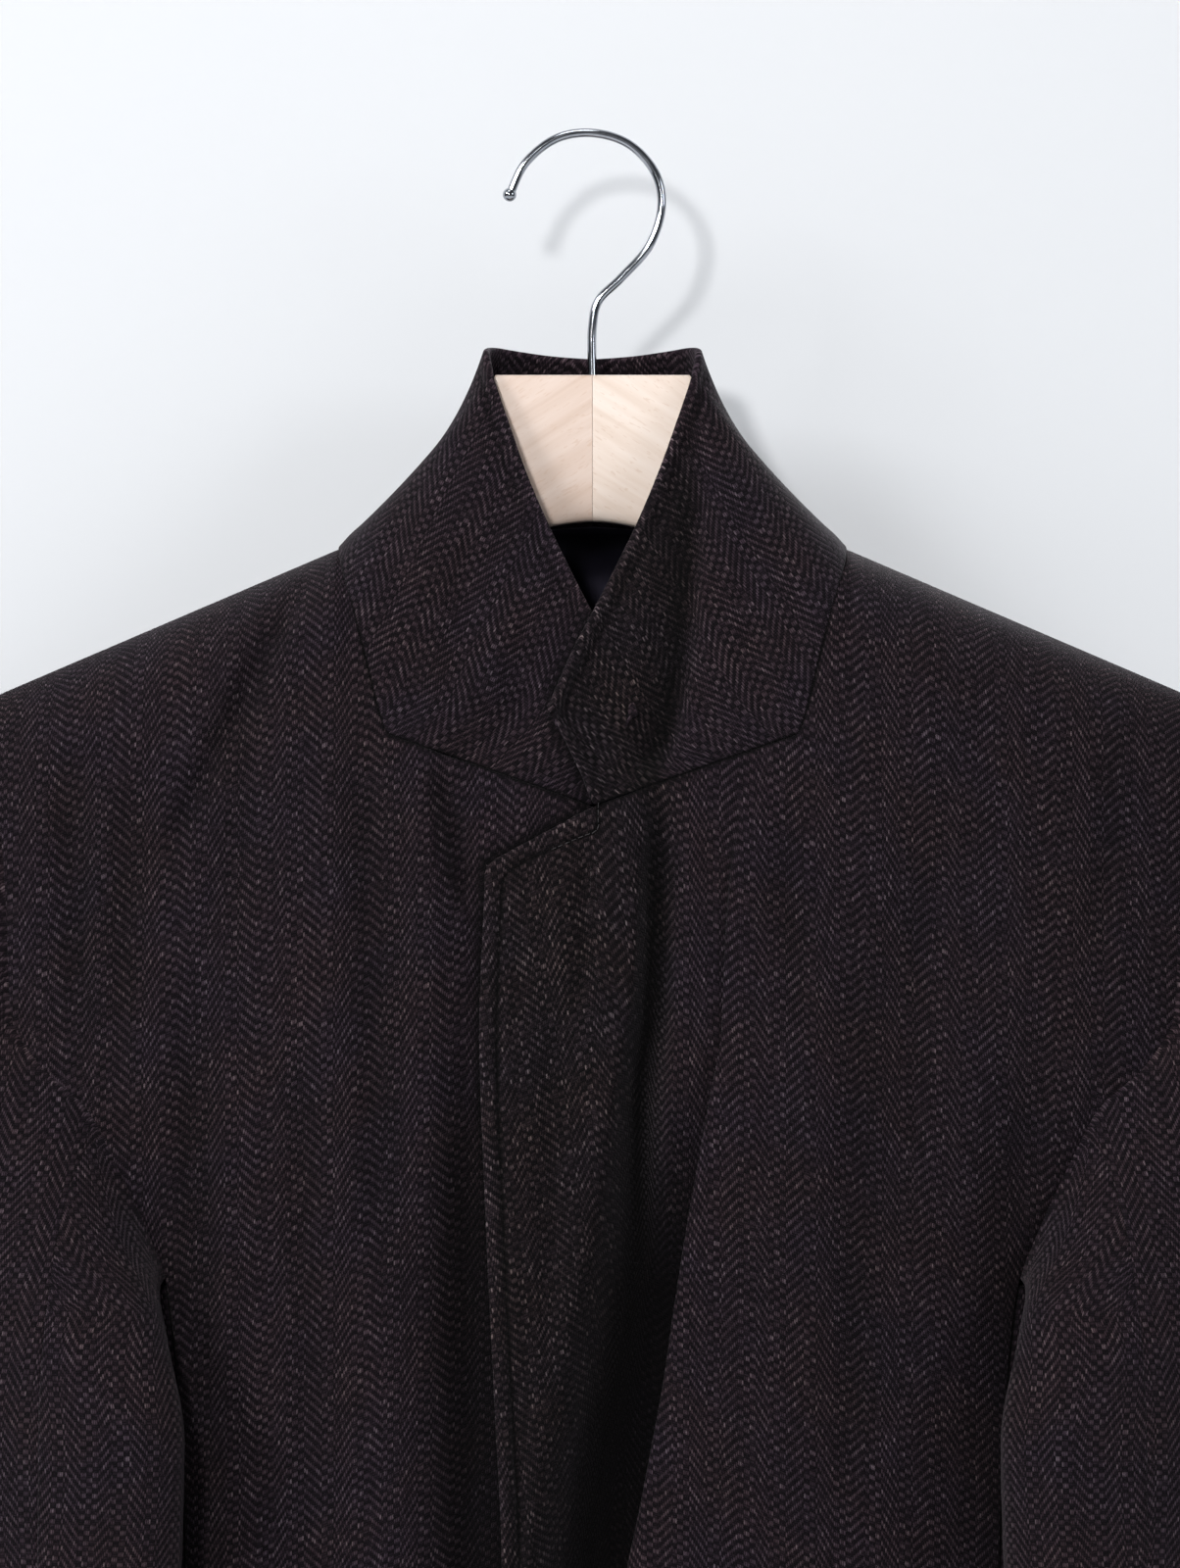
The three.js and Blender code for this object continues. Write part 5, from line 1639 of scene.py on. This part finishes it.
    def half(self, name: str, first: float, last: float, finishes: Wardrobe) -> Piece:
        """Makes the top or the under half and lets it stand for its node.

        Args:
            name: the node's name.
            first: ring place of the seam it starts at.
            last: ring place of the seam it ends at.
            finishes: the finishes to dress it in.

        Returns:
            The piece.
        """
        ends = np.array([0, 0.03, 0.07, 0.13, 0.22, 0.35, 0.5])
        middle = spread(first + 0.7, last - 0.7, 0.24)
        ring = np.concatenate([first + ends, middle, last - ends[::-1]])[:, None]
        top = [0, 0.003, 0.008, 0.015, 0.026, 0.045]
        down = np.concatenate([top, spread(0.07, 1, 1 / 52), spread(1, 2, 1 / 72)[1:]])[None, :]
        ring, down = np.broadcast_arrays(ring, down)
        points = self.surface(ring, down)
        step = np.linalg.norm(np.diff(points, axis=1), axis=-1)
        run = np.concatenate([np.zeros((len(ring), 1)), np.cumsum(step, axis=1)], axis=1)
        side_step = np.linalg.norm(np.diff(points, axis=0), axis=-1)
        round_run = np.concatenate([np.zeros((1, ring.shape[1])), np.cumsum(side_step, axis=0)], axis=0)
        seam = np.minimum(np.minimum(round_run, round_run[-1:] - round_run), run)
        edge = run[:, -1:] - run
        middle = round_run - round_run[-1:] / 2
        weave = np.stack([level_run(points, len(ring) // 2), points[..., 2]], axis=-1)
        normal = unit(np.cross(np.gradient(points, axis=0), np.gradient(points, axis=1)))
        swell = 0.6 * drift(middle, points[..., 2], 100, 0.4) + 0.25 * drift(middle, points[..., 2], 33, 2.4)
        points = points + normal * (swell * ease(0, 20, seam))[..., None]
        points[..., 0] *= self.side.value
        rims = (Rim.SEWN, Rim.SEWN, np.zeros(len(ring)), Rim.TURNED)
        soft = 1 - np.maximum(0.94 * (1 - ease(8, 14, run)), 0.75 * (1 - ease(160, 260, run))) + 0 * ring
        away, flip = np.full(ring.shape, FAR), self.side is Side.RIGHT
        shell = ClothShell(name + "_cloth", points, weave, BODY.wall, rims, seam, edge, away, flip, seam_soft=soft)
        piece = shell.build(finishes.wool, finishes.lining, (edge < 40) | (run < 90))
        side = self.side.word
        return shell.hang(piece, name, "wool", (f"front_{side}", "back"))

    def build(self, finishes: Wardrobe) -> list[Piece]:
        """Makes both halves."""
        side = self.side.word
        return [
            self.half(f"top_sleeve_{side}", -8, 10, finishes),
            self.half(f"under_sleeve_{side}", 10, 22, finishes),
        ]


# ---------------------------------------------------------------- lining
@dataclass
class BackLining:
    """The satin behind the upper back, seen through the collar's opening."""

    half_width: float = 98.0
    thick: float = 1.0
    behind: float = 2.5

    def build(self, finishes: Wardrobe) -> Piece:
        """Makes the lining and lets it stand for its node."""
        tip = BODY.shoulder_tip
        nominal = spread(-self.half_width, self.half_width, 3.0)
        top = BODY.cloth_from_crest(nominal, BODY.back_top_z(nominal))
        base = BODY.cloth_from_crest(nominal, BODY.armhole_z)
        rise = mix(-0.062, 0.045, ease(52, 78, np.abs(nominal)))[:, None]
        share = mix(rise, 0.66, spread(0, 1, 0.016)[None, :])
        cloth = mix(top[:, None], base[:, None], share)
        z, _ = BODY.turn_at(nominal[:, None], cloth)
        x = nominal[:, None] / tip * BODY.outer_x("back", z)
        points = BODY.point("back", x, BODY.cloth_from_crest(x, z))
        normal = unit(np.cross(np.gradient(points, axis=0), np.gradient(points, axis=1)))
        points = points - normal * (self.behind + 4.5 * ease(0.02, -0.05, share))[..., None]
        seam = np.full(x.shape, FAR)
        weave = np.stack([x, -cloth], axis=-1)
        rims = (Rim.SEWN, Rim.SEWN, np.zeros(len(nominal)), Rim.SEWN)
        shell = ClothShell("back_lining_cloth", points, weave, self.thick, rims, seam, seam, seam)
        piece = shell.build(finishes.lining, finishes.lining, np.ones(x.shape, bool))
        return shell.hang(piece, "back_lining", "lining", ("back",))


# ---------------------------------------------------------------- hanger and hook
@dataclass
class HangerArm:
    """One beech half of the hanger, flat where it meets the other."""

    side: Side
    bore: float = 2.1
    outline = Profile(
        "x foot half",
        (0.03, -151, 6.5), (14, -152.5, 6.5), (34, -159, 6.5), (41, -162, 6.6), (52, -168, 7),
        (66, -177, 8), (81, -187, 9.5), (98, -198, 11.5), (112, -205, 15), (130, -213, 16.5),
        (165, -229, 19), (198, -243, 19.5), (213, -247, 17), (220, -246, 12),
    )
    crest = Profile(
        "x top", (0, -93.4), (38, -93.4), (42.5, -101), (52, -119), (66, -143), (81, -159.5), (98, -170), (112, -169.92)
    )

    def build(self, finishes: Wardrobe) -> Piece:
        """Makes the half and lets it stand for its node."""
        spans = spread(3.5, 37, 3.8), spread(38, 112, 2.5), spread(116, 208, 4.0)
        x = np.concatenate([[0.03, 0.35], *spans, [212, 216, 219, 220]])
        shoulder = BODY.shoulder_z(x) - BODY.wall - 0.7
        top = np.where(x < 112, self.crest.at("top", x), shoulder)
        foot, half = self.outline.at("foot", x), self.outline.at("half", x)
        centre = np.where(x < 112, BODY.crest_y(x) * ease(34, 100, x), BODY.crest_y(x))
        crown = np.array([-1, -0.985, -0.93, -0.8, -0.6, -0.3, 0, 0.3, 0.6, 0.8, 0.93, 0.985, 1])
        drop = np.array([0.9, 0.42, 0.08, 0, 0, 0, 0, 0, 0, 0, 0.08, 0.42, 0.9])
        under = BODY.shoulder_z(x) - BODY.shoulder_round
        rings = []
        for k in range(len(x)):
            across = crown * half[k]
            crest = BODY.crest_y(x[k])
            reach = [np.abs(BODY.section_y(face, x[k], under[k]) - crest) for face in ("front", "back")]
            cloth = np.where(across < 0, *reach) - 10
            fall = BODY.shoulder_round * (1 - np.sqrt(1 - np.square(across / cloth)))
            upper = np.stack([np.full(13, x[k]), centre[k] + across, top[k] - fall - drop], axis=-1)
            low = top[k] - fall[0] - 0.9
            swing = np.linspace(0, math.pi, 17)[1:-1]
            side = np.cos(swing)
            down = 0.42 + 0.58 * np.sin(swing) ** 0.75
            wide = np.sign(side) * np.abs(side) ** 0.38
            lower = np.stack([np.full(15, x[k]), centre[k] + wide * half[k], mix(low, foot[k], down)], axis=-1)
            rings.append(np.concatenate([upper, lower]))
        points = np.array(rings)
        points[..., 0] *= self.side.value
        count, around = points.shape[:2]
        index = np.arange(count * around).reshape(count, around)
        beside = np.roll(index, -1, axis=1)
        faces = np.stack([index[:-1], index[1:], beside[1:], beside[:-1]], axis=-1).reshape(-1, 4)
        name = "hanger_" + self.side.word
        finish = finishes.beech_left if self.side is Side.LEFT else finishes.beech_right
        piece = mesh_object(name + "_wood", points.reshape(-1, 3), faces, None, (finish,))
        shaped = bmesh.new()
        shaped.from_mesh(piece.data)
        shaped.verts.ensure_lookup_table()
        for ring in (index[0], index[-1]):
            shaped.faces.new([shaped.verts[int(k)] for k in ring])
        bmesh.ops.recalc_face_normals(shaped, faces=shaped.faces)
        shaped.to_mesh(piece.data)
        shaped.free()
        drilled(piece, [cylinder("drill", (0, 0, -93.4), self.bore, 64.0, finish)])
        stand_in(piece, name)
        return piece


def cylinder(name: str, centre: Place, radius: float, length: float, finish: Material) -> Piece:
    """An upright cylinder in millimetres, as a piece at the origin."""
    mesh = bpy.data.meshes.new(name)
    made = bmesh.new()
    wide = radius * MM
    bmesh.ops.create_cone(made, cap_ends=True, segments=32, radius1=wide, radius2=wide, depth=length * MM)
    bmesh.ops.translate(made, vec=Vector(centre) * MM, verts=made.verts)
    made.to_mesh(mesh)
    made.free()
    mesh.materials.append(finish)
    return linked(name, mesh)


@dataclass
class Hook:
    """The question-mark hook of plated wire, with a ball on its end."""

    wire: float = 1.75
    ball: float = 2.7
    ball_rings: int = 18
    ball_around: int = 28
    path = (
        (-32.6, -22.5), (-26.5, -10.2), (-14.2, -0.4), (0, 1.75), (14.2, -2.6), (24.4, -13.6), (27.2, -26),
        (22.6, -42), (11.4, -55), (2.2, -64.4), (0, -74), (0, -98), (0, -125),
    )

    def centreline(self) -> Array:
        """The wire's centreline, through its points by centripetal curves."""
        given = np.array(self.path, float)
        padded = np.vstack([2 * given[0] - given[1], given, 2 * given[-1] - given[-2]])
        line = []

        def between(p: Array, q: Array, low: float, high: float, t: float) -> Array:
            """The point at t on the straight line that is at p at low and at q at high."""
            return p * (high - t) / (high - low) + q * (t - low) / (high - low)

        for k in range(len(given) - 1):
            p = padded[k : k + 4]
            knot = np.concatenate([[0], np.cumsum(np.sqrt(np.linalg.norm(np.diff(p, axis=0), axis=1)))])
            for t in np.linspace(knot[1], knot[2], 18, endpoint=False):
                a = [between(p[i], p[i + 1], knot[i], knot[i + 1], t) for i in range(3)]
                b = [between(a[i], a[i + 1], knot[i], knot[i + 2], t) for i in range(2)]
                line.append(between(b[0], b[1], knot[1], knot[2], t))
        line.append(given[-1])
        flat = np.array(line)
        return np.stack([flat[:, 0], 0 * flat[:, 0], flat[:, 1]], axis=-1)

    def add_ball(self, mesh: bmesh.types.BMesh, centre: Vector) -> None:
        """Adds the ball ring by ring, from its upper pole to its lower one.

        Args:
            mesh: the mesh to add it to, in metres.
            centre: of the ball.
        """
        turns = np.linspace(0, 2 * math.pi, self.ball_around, endpoint=False)
        rings = []
        for tilt in np.linspace(0, math.pi, self.ball_rings + 1)[1:-1]:
            wide, high = math.sin(tilt), math.cos(tilt)
            spots = [Vector((wide * math.sin(t), wide * math.cos(t), high)) for t in turns]
            rings.append([mesh.verts.new(centre + self.ball * MM * spot) for spot in spots])
        upper, lower = (mesh.verts.new(centre + Vector((0, 0, sign * self.ball * MM))) for sign in (1, -1))
        for k in range(self.ball_around):
            for above, below in zip(rings[:-1], rings[1:]):
                mesh.faces.new((above[k - 1], above[k], below[k], below[k - 1]))
            mesh.faces.new((upper, rings[0][k], rings[0][k - 1]))
            mesh.faces.new((lower, rings[-1][k - 1], rings[-1][k]))

    def build(self, finishes: Wardrobe) -> Piece:
        """Makes the hook and lets it stand for its node."""
        line = self.centreline()
        tangent = unit(np.gradient(line, axis=0))
        out = np.array([0.0, 1.0, 0.0])
        beside = unit(np.cross(tangent, out))
        turn = np.linspace(0, 2 * math.pi, 20, endpoint=False)
        ring = np.cos(turn)[None, :, None] * out + np.sin(turn)[None, :, None] * beside[:, None, :]
        points = line[:, None, :] + self.wire * ring
        index, faces = ring_faces(*points.shape[:2])
        piece = mesh_object("hook_wire", points.reshape(-1, 3), faces, None, (finishes.steel,))
        shaped = bmesh.new()
        shaped.from_mesh(piece.data)
        shaped.verts.ensure_lookup_table()
        for end in (index[0], index[-1]):
            shaped.faces.new([shaped.verts[int(k)] for k in end])
        self.add_ball(shaped, Vector(line[0]) * MM)
        bmesh.ops.recalc_face_normals(shaped, faces=shaped.faces)
        for face in shaped.faces:
            face.smooth = True
        shaped.to_mesh(piece.data)
        shaped.free()
        stand_in(piece, "hook")
        return piece


# ---------------------------------------------------------------- buttons
@dataclass
class Button:
    """A four-hole horn button sewn to the left front."""

    name: str
    x: float
    z: float
    hole: float = 1.75

    def spot(self, across: float, up: float) -> Array:
        """A point of the front's cloth beside the button's middle."""
        x = np.array(self.x + across)
        return BODY.point("front_left", x, BODY.cloth_from_crest(x, self.z + up))

    def build(self, finishes: Wardrobe) -> list[Piece]:
        """Makes the button and its thread, and lets the button stand for its node."""
        profile = np.array(
            [
                (0, 1.2), (7.4, 1.1), (9.2, 1.3), (10.1, 1.9), (10.5, 2.8), (10.35, 3.7), (9.8, 4.35),
                (9.1, 4.5), (8.5, 4.3), (7.9, 3.85), (6.6, 3.6), (0, 3.6),
            ]
        )
        turns = np.linspace(0, 2 * math.pi, 56, endpoint=False)
        along = unit(self.spot(1, 0) - self.spot(-1, 0))
        up = unit(self.spot(0, 1) - self.spot(0, -1))
        out = unit(np.cross(along, up))
        seat = self.spot(0, 0) + out * 0.35
        mesh = bmesh.new()
        rings = []
        for radius, height in profile[1:-1]:
            spots = [(radius * math.cos(t), radius * math.sin(t), height) for t in turns]
            rings.append([mesh.verts.new(spot) for spot in spots])
        for lower, upper in zip(rings[:-1], rings[1:]):
            for k in range(len(turns)):
                n = (k + 1) % len(turns)
                mesh.faces.new((lower[k], lower[n], upper[n], upper[k]))
        mesh.faces.new(rings[0][::-1])
        mesh.faces.new(rings[-1])
        bmesh.ops.recalc_face_normals(mesh, faces=mesh.faces)
        place = np.stack([along, up, out], axis=1)
        data = bpy.data.meshes.new(self.name + "_horn")
        mesh.to_mesh(data)
        mesh.free()
        data.materials.append(finishes.horn)
        piece = linked(self.name + "_horn", data)
        hole = self.hole
        holes = [(hole, hole), (-hole, hole), (hole, -hole), (-hole, -hole)]
        drills = [cylinder("drill", (x, y, 2.5), 0.95, 12.0, finishes.horn) for x, y in holes]
        for drill in drills:
            drill.data.transform(Matrix.Scale(1 / MM, 4))
        drilled(piece, drills)
        co = np.array([v.co for v in piece.data.vertices])
        moved = (seat + co @ place.T) * MM
        piece.data.vertices.foreach_set("co", moved.reshape(-1).astype(np.float32))
        piece.data.update()
        thread = self.thread(finishes, seat, place)
        stand_in(piece, self.name)
        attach(thread, "root")
        return [piece, thread]

    def thread(self, finishes: Wardrobe, seat: Array, place: Array) -> Piece:
        """The thread through the holes and round the shank."""
        loops = []
        for side in (self.hole, -self.hole):
            for lift in (0.0, 0.32):
                outer, top = side + lift * 0.6, 4.0 + lift
                loops.append([(outer, -self.hole, 2.6), (side, -1.1, top), (side, 1.1, top), (outer, self.hole, 2.6)])
        winding = np.linspace(0, 10 * math.pi, 90)
        wound = [(1.5 * math.cos(t), 1.5 * math.sin(t), 0.15 + t * 0.03) for t in winding]
        points, faces = [], []
        for line in [*loops, wound]:
            dense = np.array(line)
            if len(line) == 4:
                t = np.linspace(0, 1, 14)[:, None]
                dense = cubic(t, *dense)
            tangent = unit(np.gradient(dense, axis=0))
            beside = unit(np.cross(tangent, np.array([0.13, 0.21, 0.97])))
            over = np.cross(beside, tangent)
            turn = np.linspace(0, 2 * math.pi, 7, endpoint=False)[None, :, None]
            ring = dense[:, None] + 0.3 * (np.cos(turn) * beside[:, None] + np.sin(turn) * over[:, None])
            faces.append(ring_faces(*ring.shape[:2], sum(len(p) for p in points))[1])
            points.append(ring.reshape(-1, 3))
        local = np.concatenate(points)
        spots, name = seat + local @ place.T, self.name + "_thread"
        return mesh_object(name, spots, np.concatenate(faces), None, (finishes.thread,))


# ---------------------------------------------------------------- studio
@dataclass
class Studio:
    """A pale wall and floor, soft lights and the camera."""

    wall_y: float = 0.078
    floor_z: float = -1.25
    distance: float = 2.2
    aim: tuple[float, float] = (-0.001, -0.254)
    picture: float = 0.616

    def surface(self, name: str, corners: list[Place], finish: Material) -> Piece:
        """A flat four-cornered surface that belongs to the studio."""
        mesh = bpy.data.meshes.new(name)
        mesh.from_pydata(corners, [], [(0, 1, 2, 3)])
        mesh.materials.append(finish)
        made = linked(name, mesh)
        return made

    def paint(self, name: str, colour: Colour, one_sided: bool) -> Material:
        """Matt pale paint, which can be clear from behind."""
        material, loom, shader = new_material(name)
        loom.feeds(shader, {"Base Color": (*colour, 1), "Roughness": 0.95, "Specular IOR Level": 0.1})
        if one_sided:
            away = loom.node("ShaderNodeNewGeometry").outputs["Backfacing"]
            glow = {"Emission Color": (0.97, 0.985, 1.0, 1), "Emission Strength": 0.15}
            loom.feeds(shader, glow | {"Alpha": loom.math("SUBTRACT", 1.0, away)})
        return material

    def light(self, name: str, place: Place, at: Place, size: float, power: float, colour: Colour) -> None:
        """A soft square light aimed at a point."""
        data = bpy.data.lights.new(name, "AREA")
        data.shape, data.size, data.energy, data.color = "SQUARE", size, power, colour
        lamp = linked(name, data)
        lamp.location = place
        lamp.rotation_euler = (Vector(at) - Vector(place)).to_track_quat("-Z", "Y").to_euler()

    def build(self) -> None:
        """Sets up the surroundings, lights and camera."""
        y, z = self.wall_y, self.floor_z
        upright = [(-3, y, z), (3, y, z), (3, y, 2.2), (-3, y, 2.2)]
        level = [(-3, -3, z), (3, -3, z), (3, 3, z), (-3, 3, z)]
        wall = self.surface("backdrop", upright, self.paint("wall_paint", (0.595, 0.61, 0.635), True))
        wall.visible_shadow = False
        self.surface("floor", level, self.paint("floor_paint", (0.80, 0.80, 0.81), False))
        target = (0.0, 0.0, -0.25)
        self.light("key", (-0.33, -1.45, 0.22), target, 0.13, 13.4, (1.0, 0.99, 0.975))
        self.light("window", (-3.5, -2.9, 2.0), target, 1.6, 128.0, (0.98, 0.99, 1.0))
        self.light("fill_right", (3.2, -2.6, 0.8), target, 1.2, 30.0, (0.93, 0.96, 1.0))
        self.light("top", (-0.4, -1.7, 3.3), target, 1.4, 36.0, (1.0, 1.0, 1.0))
        self.light("rear", (0.8, 3.0, 1.0), (0, 0, -0.4), 2.0, 110.0, (0.96, 0.98, 1.0))
        world = bpy.data.worlds.new("room")
        world.use_nodes = True
        world.node_tree.nodes["Background"].inputs[0].default_value = (0.90, 0.93, 1.0, 1)
        world.node_tree.nodes["Background"].inputs[1].default_value = 0.09
        scene = bpy.context.scene
        scene.world = world
        scene.view_settings.view_transform = "Standard"
        camera = bpy.data.cameras.new("camera")
        camera.sensor_width = 36.0
        camera.lens = 36.0 * self.distance / self.picture
        camera.clip_end = 50
        held = linked("camera", camera)
        held.location = (self.aim[0], -self.distance, self.aim[1])
        held.rotation_euler = (math.radians(90), 0, 0)
        scene.camera = held


def main() -> None:
    """Builds the jacket, its hanger and the studio, piece by piece."""
    logging.basicConfig(level=logging.INFO, format="%(name)s: %(message)s")
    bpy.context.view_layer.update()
    finishes = Wardrobe.made()
    tree = stitch_tree()
    made: list[Piece] = []
    left = FrontPanel(Side.LEFT)
    right = FrontPanel(Side.RIGHT, turn=2.2)
    made += [left.build(finishes), right.build(finishes), BackPanel().build(finishes)]
    made += [SidePiece(side).build(finishes) for side in Side]
    made.append(Collar().build(finishes))
    for side in Side:
        made += Sleeve(side).build(finishes)
    made.append(BackLining().build(finishes))
    made += [HangerArm(side).build(finishes) for side in Side]
    made.append(Hook().build(finishes))
    stitches = left.stitches(tree, finishes.thread)
    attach(stitches, "root")
    made.append(stitches)
    for row, z in enumerate((-632.0, -742.0), 1):
        for column, x in enumerate((-25.0, 27.0), 1):
            made += Button(f"button_{row}_{column}", x, z).build(finishes)
    for piece in made:
        LOG.info("%s: %d faces", piece.name, len(piece.data.polygons))
    Studio().build()


if __name__ == "__main__":
    main()
